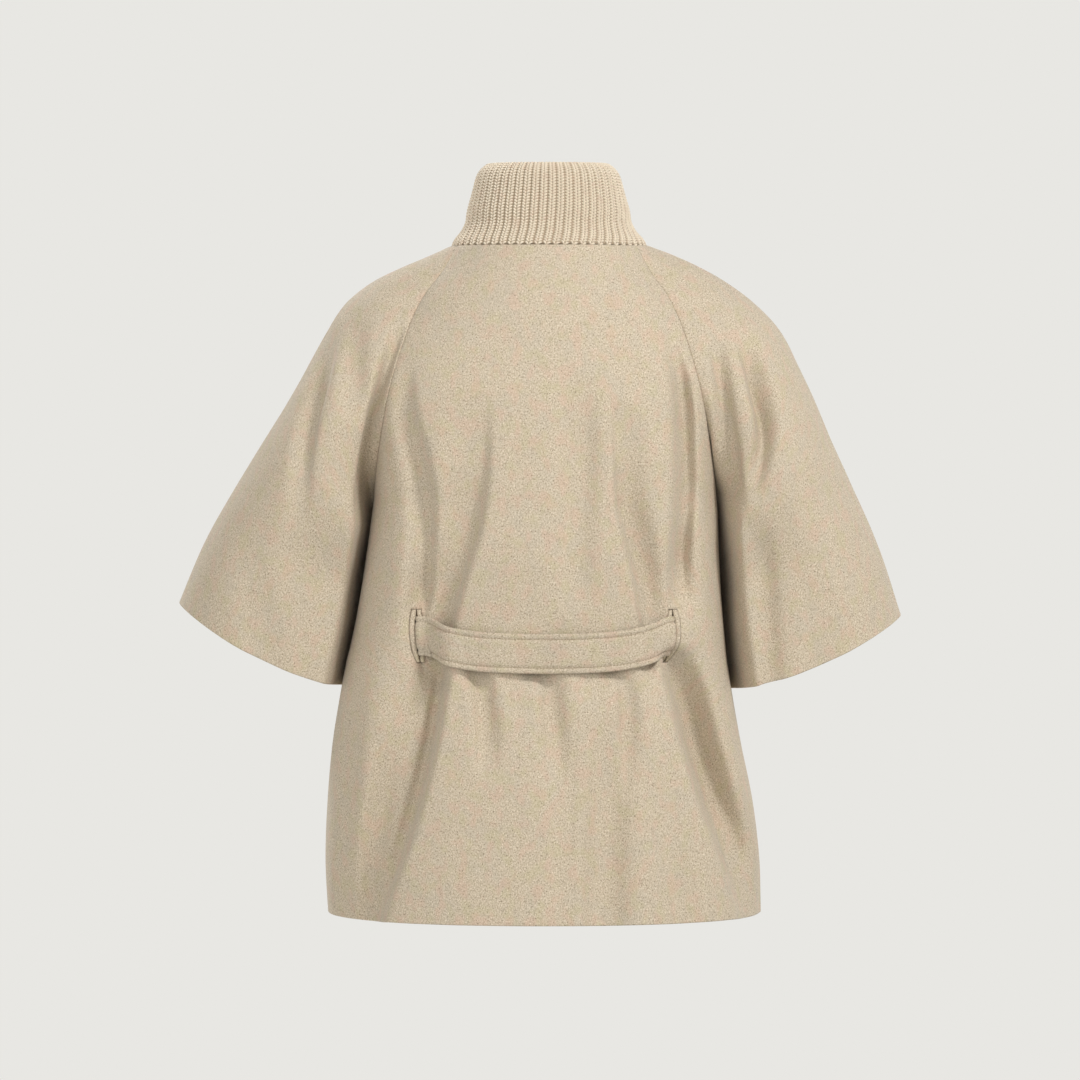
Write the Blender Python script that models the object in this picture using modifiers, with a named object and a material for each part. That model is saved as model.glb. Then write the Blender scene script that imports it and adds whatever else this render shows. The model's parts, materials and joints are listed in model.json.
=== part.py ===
"""Poncho jacket in wool cloth: cape sleeves cut raglan, a rib-knit stand collar, a back belt.

Millimetres in the tables, metres in the model. +Z is up, the garment's front faces -Y and the
wearer's left is +X. The origin is the middle of the neck opening, at the height of its seam
on the shoulders. "along" runs down the sleeve, from 0 at the neck to 1 at its hem.
"""
import math

import bmesh
import bpy
import numpy as np

MM = 0.001

# ---- driving sizes ------------------------------------------------------------------------
WALL = 2.2              # thickness of the wool cloth
SEAM_GAP = 0.32         # between two pieces at a seam
UNDERARM_GAP = 0.9      # where four pieces meet under the arm
UNDERARM = 0.61         # share of the armhole and underarm line that is armhole
HEM_Z = -668.0
SLEEVE_HEM_BOW = 11.0   # the sleeve hem is cut slightly round
SLEEVE_FORWARD = 46.0   # the sleeves hang forward of the side seams by this at the hem
SLEEVE_FLANK = {"left": 0.11, "right": 0.16}    # beside the body its back turns in over this share

LAP = 28.0              # each front passes the centre by this
LAP_FADE = 42.0         # the under front comes back to the common surface over this

RIBS = 56               # round the neck
LAP_RIBS = 4            # and in the laps
RIB_RAISE = 1.4
RIB_FLANK = 0.3         # share of a rib's width that its flank takes
COLLAR_RIM = 0.8        # the top edge is rounded in by this
COLLAR_WALL = 3.2
RIB_SKEW = 7.0          # the ribs lean by this from top to seam
COLLAR_TOP = {"half_width": 68.8, "back": 62.0, "front": 64.0, "middle_x": -3.0, "middle_y": 1.0,
              "back_z": 76.0, "side_z": 78.0, "front_z": 30.0}

SLOT_X = 126.5          # middle of each belt slit
SLOT_Z = -390.5
SLOT_HEIGHT = 52.0
SLOT_GAP = 5.2          # between the two welts
WELT_WIDTH = 4.4
WELT_RAISE = 1.2
WELT_PROFILE = [(-0.5, 0.5), (-0.25, 1.0), (0.25, 1.0), (0.5, 0.5)]    # shares of width and raise
WELT_THICK = 3.2
BELT_WIDTH = 38.6
BELT_THICK = 3.4
BELT_BEND = 3.6         # radius of the belt's middle where it turns through the slit
BELT_INSIDE_END = 163.0
BELT_CLEAR = 1.2        # between the belt and the cloth it passes
BELT_BRIDGE = 2.0       # and above the highest creases that it bridges

BUTTON_RADIUS = 14.0
BUTTON_THICK = 4.0
BUTTON_CLEAR = 0.4
BUTTON_Z = [-100.0, -195.0, -290.0, -385.0]
# half outline of a turned button, as shares of its radius and thickness
BUTTON_PROFILE = [(0.0, 0.7), (0.62, 0.7), (0.78, 1.0), (0.93, 0.9), (1.0, 0.5), (0.9, 0.0), (0.0, 0.0)]
BUTTON_STEPS = 20

# ---- tables -------------------------------------------------------------------------------
# the sleeve's section along the armhole: "turn" is how far round its oval each half section
# goes, in degrees, 180 where it closes, and "depth" is half the oval's depth
ARM_COLUMNS = ("along", "turn_back", "depth_back", "turn_front", "depth_front")
ARM_ROWS = [
    (0.000, 23.4, 83.0, 31.0, 76.0),
    (0.0625, 38.0, 78.0, 46.0, 72.0),
    (0.125, 52.0, 78.0, 60.0, 72.0),
    (0.190, 65.0, 83.0, 72.0, 77.0),
    (0.250, 78.0, 89.0, 85.0, 83.0),
    (0.340, 102.0, 96.0, 106.0, 91.0),
    (0.440, 130.0, 102.0, 132.0, 98.0),
    (0.520, 153.0, 106.0, 154.0, 102.0),
    (UNDERARM, 180.0, 108.0, 180.0, 105.0),
]
# outer line of each sleeve, seen from the back, then its armhole seam and underarm seam
SLEEVE_COLUMNS = ("along", "over_x", "over_z", "seam_x", "seam_z")
SLEEVE_ROWS = {
    "left": [
        (0.000, 93.0, -3.5, 87.0, -4.5),
        (0.0625, 121.0, -15.5, 101.6, -31.0),
        (0.125, 148.0, -27.0, 118.6, -54.5),
        (0.190, 175.0, -41.0, 131.8, -82.0),
        (0.250, 197.0, -58.5, 140.8, -109.0),
        (0.340, 219.0, -90.0, 152.0, -148.5),
        (0.440, 241.5, -131.0, 161.0, -193.0),
        (0.520, 260.5, -164.0, 167.0, -229.0),
        (UNDERARM, 283.5, -200.0, 172.0, -268.0),
        (0.700, 306.0, -236.0, 178.4, -308.0),
        (0.850, 341.5, -297.0, 187.4, -376.0),
        (1.000, 369.5, -360.5, 201.6, -443.5),
    ],
    "right": [
        (0.000, 101.0, -2.5, 91.0, -4.5),
        (0.0625, 125.5, -11.5, 104.0, -31.0),
        (0.125, 151.5, -23.0, 120.0, -54.5),
        (0.190, 178.5, -38.0, 132.8, -82.0),
        (0.250, 202.0, -54.5, 141.4, -109.0),
        (0.340, 232.0, -84.0, 152.0, -148.5),
        (0.440, 254.5, -125.0, 161.0, -193.0),
        (0.520, 269.5, -156.0, 167.0, -229.0),
        (UNDERARM, 286.0, -195.0, 172.0, -268.0),
        (0.700, 305.0, -236.0, 173.8, -309.0),
        (0.850, 335.5, -303.0, 176.0, -377.0),
        (1.000, 359.5, -373.0, 184.2, -447.0),
    ],
}
# centre lines of the back and front above the underarm, and how far round each section goes
CHEST_COLUMNS = ("along", "back_y", "back_z", "back_turn", "front_y", "front_z", "front_turn", "square")
CHEST_ROWS = [
    (0.000, 83.0, -7.0, 66.6, 76.0, -55.0, 59.0, 2.00),
    (0.0625, 97.0, -31.0, 64.0, 86.0, -72.0, 57.0, 2.00),
    (0.125, 108.0, -54.5, 62.0, 94.0, -89.0, 56.0, 2.02),
    (0.190, 118.0, -82.0, 61.0, 102.0, -107.0, 57.0, 2.06),
    (0.250, 126.0, -109.0, 62.0, 110.0, -127.0, 60.0, 2.12),
    (0.340, 136.0, -148.5, 68.0, 121.0, -157.0, 68.0, 2.28),
    (0.440, 142.0, -193.0, 77.0, 131.0, -196.0, 77.0, 2.50),
    (0.520, 145.0, -229.0, 84.0, 138.0, -230.0, 84.0, 2.65),
    (0.610, 146.0, -268.0, 90.0, 143.0, -268.0, 90.0, 2.75),
]
# closed sections of the body below the underarm
SKIRT_COLUMNS = ("z", "left_x", "right_x", "back_y", "front_y", "square")
SKIRT_ROWS = [
    (-268.0, 172.0, 172.0, 146.0, 143.0, 2.75),
    (-317.0, 179.0, 173.5, 146.0, 147.0, 2.75),
    (-350.0, 184.0, 175.5, 142.0, 149.0, 2.70),
    (-392.0, 192.0, 179.0, 137.0, 150.0, 2.60),
    (-417.0, 198.0, 181.5, 139.0, 150.0, 2.55),
    (-450.0, 204.0, 186.5, 144.0, 151.0, 2.50),
    (-500.0, 212.0, 195.5, 150.0, 154.0, 2.40),
    (-557.0, 217.0, 207.0, 154.0, 158.0, 2.30),
    (-617.0, 219.0, 214.0, 157.0, 162.0, 2.25),
    (HEM_Z, 216.5, 215.5, 160.0, 165.0, 2.20),
]
# creases: points of the centre line as (x, z, depth), with the reach of the hollow on the
# wearer's left and right; a short reach is the steep flank of an overlapping fold
FOLD_COLUMNS = ("line", "reach_left", "reach_right")
LINE_COLUMNS = ("x", "z", "depth")
BACK_FOLDS = [
    ([(126, -150, 0), (124, -200, 5), (116, -229, 6.5), (111, -258, 8), (109, -316, 9), (116, -352, 8),
      (124, -380, 4), (127, -410, 0)], 15, 20),
    ([(65, -155, 0), (57, -210, 3), (59, -249, 5), (65, -287, 7), (73, -316, 9), (82, -345, 11),
      (92, -374, 12), (96, -400, 11), (96, -421, 12), (102, -452, 14), (110, -500, 16), (123, -549, 17),
      (138, -597, 18), (155, HEM_Z, 19)], 34, 11),
    ([(-43, -150, 0), (-45, -200, 3), (-48, -297, 3), (-50, -350, 0)], 13, 13),
    ([(-70, -180, 0), (-71, -239, 3), (-77, -278, 5), (-85, -316, 7), (-95, -376, 9), (-99, -400, 8),
      (-101, -421, 8), (-107, -452, 7), (-115, -539, 6), (-123, -597, 7), (-132, HEM_Z, 8)], 11, 26),
    ([(-130, -130, 0), (-138, -160, 4), (-141, -250, 7), (-141, -320, 8), (-138, -355, 6),
      (-130, -385, 0), (-130, -406, 0), (-134, -424, 8), (-141, -443, 14), (-154, -482, 15),
      (-164, -521, 15), (-173, -560, 14), (-183, -600, 12), (-195, HEM_Z, 10)], 15, 13),
    ([(58, -422, 0), (58, -450, 4), (56, -495, 0)], 13, 13),
    ([(-5, -418, 2), (-5, -455, 4), (-5, -515, 0)], 16, 16),
    ([(-80, -430, 0), (-84, -520, 4), (-90, -600, 4), (-96, HEM_Z, 3)], 15, 15),
]
FRONT_FOLDS = [
    ([(95, -170, 0), (98, -260, 5), (104, -380, 6), (112, -500, 9), (126, -590, 12),
      (140, HEM_Z, 14)], 26, 16),
    ([(150, -230, 0), (152, -320, 5), (158, -420, 6), (165, -520, 0)], 14, 14),
    ([(-88, -150, 0), (-92, -240, 5), (-100, -350, 7), (-112, -480, 9), (-128, -590, 13),
      (-142, HEM_Z, 15)], 15, 24),
    ([(-66, -480, 0), (-70, -560, 4), (-76, HEM_Z, 7)], 16, 16),
]
SLEEVE_FOLDS = [
    ([(222, -85, 0), (232, -140, 5), (239, -190, 7), (241, -240, 6), (243, -300, 0)], 18, 15),
    ([(300, -250, 0), (298, -300, 4), (290, -350, 6), (284, -400, 7)], 20, 20),
    ([(-217, -100, 0), (-226, -165, 4), (-222, -200, 6), (-212, -235, 6), (-206, -275, 0)], 16, 18),
    ([(-262, -290, 0), (-268, -340, 4), (-272, -410, 6)], 20, 20),
]
# middle height of the belt by distance from the centre
BELT_COLUMNS = ("x", "z")
BELT_ROWS = [(0.0, -407.0), (30.0, -406.6), (55.0, -405.5), (75.0, -403.6), (98.0, -399.0),
             (115.0, -393.5), (126.5, -390.5), (135.0, -390.0), (170.0, -390.0)]
# how far the collar's width is from that of its top, by height, as a share
COLLAR_COLUMNS = ("height", "flare")
COLLAR_ROWS = [(0.0, 1.0), (0.08, 0.84), (0.17, 0.64), (0.27, 0.53), (0.45, 0.40), (0.70, 0.22),
               (0.92, 0.08), (1.0, -0.01)]
# how far the under front lies below the over front, by height
LAP_COLUMNS = ("z", "drop")
LAP_ROWS = [(HEM_Z, 3.3), (-200.0, 3.3), (-100.0, 4.2), (-55.0, 5.2), (0.0, 5.2)]

# ---- mesh resolution ----------------------------------------------------------------------
CHEST_LINES = [0.0, 0.05, 0.11, 0.18, 0.25, 0.32, 0.39, 0.46, 0.535, UNDERARM]
SLEEVE_LINES = [0.645, 0.69, 0.76, 0.84, 0.92, 1.0]
SKIRT_LINES = [-268.0, -295.0, -322.0, -348.0, -372.0, -396.0, -422.0, -450.0, -480.0, -514.0,
               -550.0, -590.0, -630.0, HEM_Z]
COLLAR_LINES = [0.0, 0.08, 0.20, 0.40, 0.70, 0.95, 1.0]
BACK_CELLS = 40
FRONT_CELLS = 14
SLEEVE_CELLS = 13
DENSE = 241             # points of a section before it is divided evenly

# cloth colours, linear
WOOL = (0.60, 0.50, 0.37, 1.0)
KNIT = (0.66, 0.55, 0.41, 1.0)
HORN = (0.16, 0.10, 0.06, 1.0)


# ---- curves through tables ----------------------------------------------------------------
def through(rows, columns, key, value):
    """A smooth function of column key that passes through each row's value."""
    table = np.array(rows, float)
    order = np.argsort(table[:, columns.index(key)])
    knots = table[order, columns.index(key)]
    values = table[order, columns.index(value)]
    slopes = np.gradient(values, knots)

    def at(where):
        where = np.clip(np.asarray(where, float), knots[0], knots[-1])
        cell = np.clip(np.searchsorted(knots, where, side="right") - 1, 0, len(knots) - 2)
        width = knots[cell + 1] - knots[cell]
        t = (where - knots[cell]) / width
        keep = (1 + 2 * t) * (1 - t) ** 2 * values[cell] + t * t * (3 - 2 * t) * values[cell + 1]
        lean = t * (1 - t) ** 2 * slopes[cell] - t * t * (1 - t) * slopes[cell + 1]
        return keep + lean * width
    return at


def table_curves(rows, columns):
    key = columns[0]
    return {name: through(rows, columns, key, name) for name in columns[1:]}


ARM = table_curves(ARM_ROWS, ARM_COLUMNS)
SLEEVE = {side: table_curves(rows, SLEEVE_COLUMNS) for side, rows in SLEEVE_ROWS.items()}
CHEST = table_curves(CHEST_ROWS, CHEST_COLUMNS)
SKIRT = table_curves(SKIRT_ROWS, SKIRT_COLUMNS)
BELT_Z = table_curves(BELT_ROWS, BELT_COLUMNS)["z"]
COLLAR_FLARE = table_curves(COLLAR_ROWS, COLLAR_COLUMNS)["flare"]
LAP_DROP = table_curves(LAP_ROWS, LAP_COLUMNS)["drop"]
SIDE_SIGN = {"left": 1.0, "right": -1.0}


def smooth(low, high, value):
    t = np.clip((np.asarray(value, float) - low) / (high - low), 0.0, 1.0)
    return t * t * (3.0 - 2.0 * t)


def evenly(points, cells):
    """Divide a dense line into equal stretches."""
    steps = np.linalg.norm(np.diff(points, axis=0), axis=1)
    travelled = np.concatenate([[0.0], np.cumsum(steps)])
    stops = np.linspace(0.0, travelled[-1], cells + 1)
    return np.stack([np.interp(stops, travelled, points[:, axis]) for axis in range(3)], axis=1)


# ---- the garment's surface ----------------------------------------------------------------
def fold_depth(folds, x, z):
    """How far the creases press the cloth in at x, z."""
    total = np.zeros(np.broadcast(x, z).shape)
    for row in folds:
        fold = dict(zip(FOLD_COLUMNS, row))
        centre = through(fold["line"], LINE_COLUMNS, "z", "x")(z)
        depth = through(fold["line"], LINE_COLUMNS, "z", "depth")(z)
        heights = [point[1] for point in fold["line"]]
        inside = (z >= min(heights)) & (z <= max(heights))
        reach = np.where(x > centre, fold["reach_left"], fold["reach_right"])
        total = total + np.where(inside, np.maximum(depth, 0.0), 0.0) * np.exp(-((x - centre) / reach) ** 2)
    return total


def front_shift(along):
    """The front armhole seam starts further forward and lower on the neck than the back one."""
    left = np.clip(1.0 - along / UNDERARM, 0.0, 1.0) ** 2
    return -5.9 * left, -16.3 * left


def armhole(along, face, side):
    """Armhole seam as x, y, z, with x measured outwards."""
    x, z = SLEEVE[side]["seam_x"](along), SLEEVE[side]["seam_z"](along)
    turn = math.radians(float(ARM["turn_" + face](along)))
    y = float(ARM["depth_" + face](along)) * math.sin(turn)
    if face == "front":
        shift_x, shift_z = front_shift(along)
        return float(x) + shift_x, -y, float(z) + shift_z
    return float(x), y, float(z)


def oval(turn, square):
    """Half an oval section: share of the way across (1 at the crown, 0 at the end) and depth."""
    angle = np.linspace(turn, 0.0, DENSE)
    power = 2.0 / square
    across = np.sign(np.cos(angle)) * np.abs(np.cos(angle)) ** power
    return (across - across[0]) / (1.0 - across[0]), np.sin(angle) ** power


def fuller(across, along, side):
    """How much flatter than an oval a sleeve's back is beside the body, with a steep flank."""
    flank = np.sin(math.pi / 2 * np.clip(across / SLEEVE_FLANK[side], 0.0, 1.0))
    oval_rise = np.sqrt(np.maximum(1.0 - (2.0 * across - 1.0) ** 2, 0.0))
    return np.where(across < 0.5, flank - oval_rise, 0.0) * smooth(0.46, 0.76, along)


def sleeve_line(along, side, face):
    """One section of a sleeve half, from its armhole or underarm seam to the overarm seam."""
    below = along > UNDERARM
    turn = math.pi if below else math.radians(float(ARM["turn_" + face](along)))
    depth = float(ARM["depth_" + face](min(along, UNDERARM)))
    across, rise = oval(turn, 2.0)
    over = np.array([float(SLEEVE[side]["over_x"](along)), float(SLEEVE[side]["over_z"](along))])
    if below:
        under = np.array([float(SLEEVE[side]["seam_x"](along)), float(SLEEVE[side]["seam_z"](along))])
    else:
        x, _, z = armhole(along, face, side)
        under = np.array([x, z])
    bow = SLEEVE_HEM_BOW * smooth(UNDERARM, 1.0, along) * np.sin(math.pi * across)
    out = 1.0 if face == "back" else -1.0
    near_body = (1.0 - across) ** 2
    forward = SLEEVE_FORWARD * (smooth(UNDERARM, 0.80, along) * near_body + along ** 2 * (1.0 - near_body))
    x = under[0] + (over[0] - under[0]) * across
    z = under[1] + (over[1] - under[1]) * across - bow
    if face == "back":
        rise = rise + fuller(across, along, side)
    return np.stack([x * SIDE_SIGN[side], out * depth * rise - forward, z], axis=1)


def body_line(level, face, on_chest):
    """One section of the body, dense, from the right seam over the centre to the left seam."""
    if on_chest:
        left, right = armhole(level, face, "left"), armhole(level, face, "right")
        crown_y = float(CHEST[face + "_y"](level))
        crown_z = float(CHEST[face + "_z"](level))
        turn = math.radians(float(CHEST[face + "_turn"](level)))
        square = float(CHEST["square"](level))
    else:
        left = (float(SKIRT["left_x"](level)), 0.0, level)
        right = (float(SKIRT["right_x"](level)), 0.0, level)
        crown_y, crown_z = float(SKIRT[face + "_y"](level)), level
        turn, square = math.pi / 2, float(SKIRT["square"](level))
    if face == "front":
        crown_y = -crown_y
    angle = np.linspace(-turn, turn, 2 * DENSE - 1)
    power = 2.0 / square
    across = np.sign(angle) * np.abs(np.sin(angle)) ** power / math.sin(turn) ** power
    end = abs(math.cos(turn)) ** power
    rise = (np.abs(np.cos(angle)) ** power - end) / (1.0 - end)
    half, lean = (left[0] + right[0]) / 2, (left[0] - right[0]) / 2
    x = half * across + lean * across ** 2
    y = left[1] + (crown_y - left[1]) * rise
    z = left[2] + (crown_z - left[2]) * rise
    return np.stack([x, y, z], axis=1)


def body_lines(face, cells, first_x=None, last_x=None):
    """Sections of the back, or of one front between two distances from the centre."""
    rows = []
    for level, on_chest in [(s, True) for s in CHEST_LINES] + [(z, False) for z in SKIRT_LINES[1:]]:
        line = body_line(level, face, on_chest)
        if first_x is not None:
            line = line[line[:, 0] >= first_x - 1e-9]
            line = np.vstack([cut_at(body_line(level, face, on_chest), first_x), line])
        if last_x is not None:
            line = line[line[:, 0] <= last_x + 1e-9]
            line = np.vstack([line, cut_at(body_line(level, face, on_chest), last_x)])
        rows.append(evenly(line, cells))
    return np.array(rows)


def cut_at(line, x):
    return np.array([[x, np.interp(x, line[:, 0], line[:, 1]), np.interp(x, line[:, 0], line[:, 2])]])


def grid_normals(grid, outward):
    """Normals of a grid of points; outward is a rough direction for its middle."""
    down = np.gradient(grid, axis=0)
    across = np.gradient(grid, axis=1)
    normal = np.cross(down, across)
    normal /= np.maximum(np.linalg.norm(normal, axis=2, keepdims=True), 1e-9)
    middle = normal[normal.shape[0] // 2, normal.shape[1] // 2]
    return normal if np.dot(middle, outward) > 0 else -normal


def creased(grid, folds, outward):
    """Press the creases into a grid, leaving its two seam edges where they are."""
    depth = fold_depth(folds, grid[:, :, 0], grid[:, :, 2])
    column = np.arange(grid.shape[1])
    from_seam = np.minimum(column, grid.shape[1] - 1 - column)
    depth = depth * np.clip(from_seam / 2.0, 0.0, 1.0)
    return grid - grid_normals(grid, outward) * depth[:, :, None]


def back_grid():
    """Outer face of the back panel."""
    return creased(body_lines("back", BACK_CELLS), BACK_FOLDS, (0, 1, 0))


BACK_GRID = back_grid()


def back_point(x, z):
    """The point of the back panel's outer face at x, z."""
    y_rows = [np.interp(x, row[:, 0], row[:, 1]) for row in BACK_GRID]
    z_rows = [np.interp(x, row[:, 0], row[:, 2]) for row in BACK_GRID]
    return np.array([x, np.interp(-z, -np.array(z_rows), y_rows), z])


def on_back(x, z, offset=0.0):
    """A point of the back's outer face at x, z, moved out by offset, and the ways along and out of it."""
    point = back_point(x, z)
    along = back_point(x + 4.0, z) - back_point(x - 4.0, z)
    along /= np.linalg.norm(along)
    out = np.array([-along[1], along[0], 0.0])
    return point + out * offset, along, out


# ---- solids -------------------------------------------------------------------------------
def add_object(name, vertices, faces, material, collection):
    mesh = bpy.data.meshes.new(name)
    mesh.from_pydata([tuple(v * MM for v in vertex) for vertex in vertices], [], faces)
    mesh.validate()
    surface = bmesh.new()
    surface.from_mesh(mesh)
    bmesh.ops.recalc_face_normals(surface, faces=surface.faces)
    surface.to_mesh(mesh)
    surface.free()
    mesh.materials.append(material)
    mesh.shade_smooth()
    item = bpy.data.objects.new(name, mesh)
    collection.objects.link(item)
    return item


def wall_faces(rows, columns, offset):
    """Outer and inner quads of a wall and the strips that close its four edges."""
    faces = []
    for r in range(rows - 1):
        for c in range(columns - 1):
            a, b = r * columns + c, (r + 1) * columns + c
            faces.append((a, a + 1, b + 1, b))
            faces.append((offset + a, offset + b, offset + b + 1, offset + a + 1))
    rim = [(0, c) for c in range(columns)] + [(r, columns - 1) for r in range(1, rows)]
    rim += [(rows - 1, c) for c in range(columns - 2, -1, -1)] + [(r, 0) for r in range(rows - 2, 0, -1)]
    for (r0, c0), (r1, c1) in zip(rim, rim[1:] + rim[:1]):
        a, b = r0 * columns + c0, r1 * columns + c1
        faces.append((a, offset + a, offset + b, b))
    return faces


def cloth(name, grid, normals, material, collection, thickness=WALL):
    """A cloth wall: the grid is its outer face, the inner one lies under it."""
    rows, columns, _ = grid.shape
    outer = grid.reshape(-1, 3)
    inner = (grid - normals * thickness).reshape(-1, 3)
    vertices = np.vstack([outer, inner])
    return add_object(name, vertices, wall_faces(rows, columns, rows * columns), material, collection)


def shared_normals(panels):
    """Each panel's normals, averaged with its neighbours' where they meet at a seam."""
    gathered = {}
    for grid, normals in panels.values():
        for point, normal in zip(grid.reshape(-1, 3), normals.reshape(-1, 3)):
            key = tuple(np.round(point, 1))
            gathered[key] = gathered.get(key, 0.0) + normal
    result = {}
    for name, (grid, normals) in panels.items():
        merged = np.array([gathered[tuple(np.round(point, 1))] for point in grid.reshape(-1, 3)])
        length = np.linalg.norm(merged, axis=1, keepdims=True)
        own = normals.reshape(-1, 3)
        merged = np.where(length > 0.2, merged / np.maximum(length, 1e-9), own)
        result[name] = merged.reshape(grid.shape)
    return result


def draw_back(grid, normals, edges):
    """Move the named edges of a grid into it by half the seam gap, square to the shared normals."""
    moved = grid.copy()
    pairs = {"top": ((0, slice(None)), (1, slice(None))), "left": ((slice(None), 0), (slice(None), 1)),
             "right": ((slice(None), -1), (slice(None), -2))}
    for edge in edges:
        here, inside = pairs[edge]
        normal, seam = normals[here], np.gradient(grid[here], axis=0)
        seam = seam / np.linalg.norm(seam, axis=-1, keepdims=True)
        step = grid[inside] - grid[here]
        step = step - normal * np.sum(step * normal, axis=-1, keepdims=True)
        step = step - seam * np.sum(step * seam, axis=-1, keepdims=True)
        gap = np.full((len(step), 1), SEAM_GAP)
        if edge != "top":
            gap[len(CHEST_LINES) - 1] = UNDERARM_GAP
        moved[here] += step / np.maximum(np.linalg.norm(step, axis=-1, keepdims=True), 1e-9) * gap / 2
    return moved


# ---- panels -------------------------------------------------------------------------------
def sleeve_grid(side, face):
    levels = CHEST_LINES + SLEEVE_LINES
    grid = np.array([evenly(sleeve_line(s, side, face), SLEEVE_CELLS) for s in levels])
    return creased(grid, SLEEVE_FOLDS, (0.0, 1.0 if face == "back" else -1.0, 0.0))


def lapped_under(from_centre):
    """1 where the under front lies behind the over front, 0 where it has come back out."""
    return 1.0 - smooth(LAP + 12.0, LAP + LAP_FADE, from_centre)


def front_grid(side):
    """A front from its side seam past the centre; the left one dips under the right one."""
    if side == "right":
        grid = body_lines("front", FRONT_CELLS, last_x=LAP)
    else:
        grid = body_lines("front", FRONT_CELLS, first_x=-LAP)
    outward = (0.0, -1.0, 0.0)
    normals = grid_normals(grid, outward)
    pressed = fold_depth(FRONT_FOLDS, grid[:, :, 0], grid[:, :, 2])
    seam_column = grid.shape[1] - 1 if side == "left" else 0
    pressed *= np.clip(np.abs(np.arange(grid.shape[1]) - seam_column) / 2.0, 0.0, 1.0)
    grid = grid - normals * pressed[:, :, None]
    if side == "left":
        grid[:, :, 1] += LAP_DROP(grid[:, :, 2]) * lapped_under(grid[:, :, 0])
    return grid


def garment_panels():
    """Outer faces of the cloth panels that share seams."""
    grids = {"back": BACK_GRID,
             "front_left": front_grid("left"), "front_right": front_grid("right")}
    for face in ("back", "front"):
        for side in ("left", "right"):
            grids[f"sleeve_{face}_{side}"] = sleeve_grid(side, face)
    outward = {name: (0, -1, 0) if "front" in name else (0, 1, 0) for name in grids}
    panels = {name: (grid, grid_normals(grid, outward[name])) for name, grid in grids.items()}
    return grids, shared_normals(panels)


def add_panels(material, collection):
    grids, normals = garment_panels()
    seams = {"front_left": ("top", "right"), "front_right": ("top", "left")}
    items = {}
    for name, grid in grids.items():
        edges = seams.get(name, ("top", "left", "right"))
        items[name] = cloth(name, draw_back(grid, normals[name], edges), normals[name], material, collection)
    return items


# ---- collar -------------------------------------------------------------------------------
def neck_ring():
    """The neck seam as one line: from the centre front over the left side, the back and the right."""
    front = body_line(0.0, "front", True)
    back = body_line(0.0, "back", True)
    middle = len(front) // 2
    left = [sleeve_line(0.0, "left", "front"), sleeve_line(0.0, "left", "back")[::-1]]
    right = [sleeve_line(0.0, "right", "back"), sleeve_line(0.0, "right", "front")[::-1]]
    stretches = [front[middle:], left[0][1:], left[1][1:], back[::-1][1:],
                 right[0][1:], right[1][1:], front[1:middle + 1]]
    return np.vstack(stretches)


def along_ring(ring, distance):
    steps = np.linalg.norm(np.diff(ring, axis=0), axis=1)
    travelled = np.concatenate([[0.0], np.cumsum(steps)])
    distance = np.mod(distance, travelled[-1])
    return np.stack([np.interp(distance, travelled, ring[:, axis]) for axis in range(3)], axis=-1)


def top_ring():
    angle = np.linspace(0.0, 2 * math.pi, 4 * DENSE)
    forward = np.cos(angle)
    reach = np.where(forward > 0, COLLAR_TOP["front"], COLLAR_TOP["back"])
    drop = np.where(forward > 0, COLLAR_TOP["front_z"], COLLAR_TOP["back_z"]) - COLLAR_TOP["side_z"]
    across = COLLAR_TOP["middle_x"] + COLLAR_TOP["half_width"] * np.sin(angle)
    return np.stack([across, COLLAR_TOP["middle_y"] - reach * forward,
                     COLLAR_TOP["side_z"] + drop * forward ** 2], axis=1)


def ring_length(ring):
    return np.linalg.norm(np.diff(ring, axis=0), axis=1).sum()


def collar_point(share, height, raised):
    """A point of the collar: share of the way round, share of the height, distance moved out."""
    neck, top = neck_ring(), top_ring()
    skewed = share + RIB_SKEW * (1.0 - height) / ring_length(neck) * np.sin(math.pi * np.clip(share, 0, 1))
    low = along_ring(neck, skewed * ring_length(neck))
    high = along_ring(top, share * ring_length(top))
    flare = float(COLLAR_FLARE(height))
    point = high + (low - high) * flare
    point[..., 2] = low[..., 2] + (high[..., 2] - low[..., 2]) * height
    out = point - np.array([COLLAR_TOP["middle_x"], COLLAR_TOP["middle_y"], 0.0])
    out[..., 2] = 0.0
    out /= np.linalg.norm(out, axis=-1, keepdims=True)
    return point + out * np.asarray(raised)[..., None]


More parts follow.
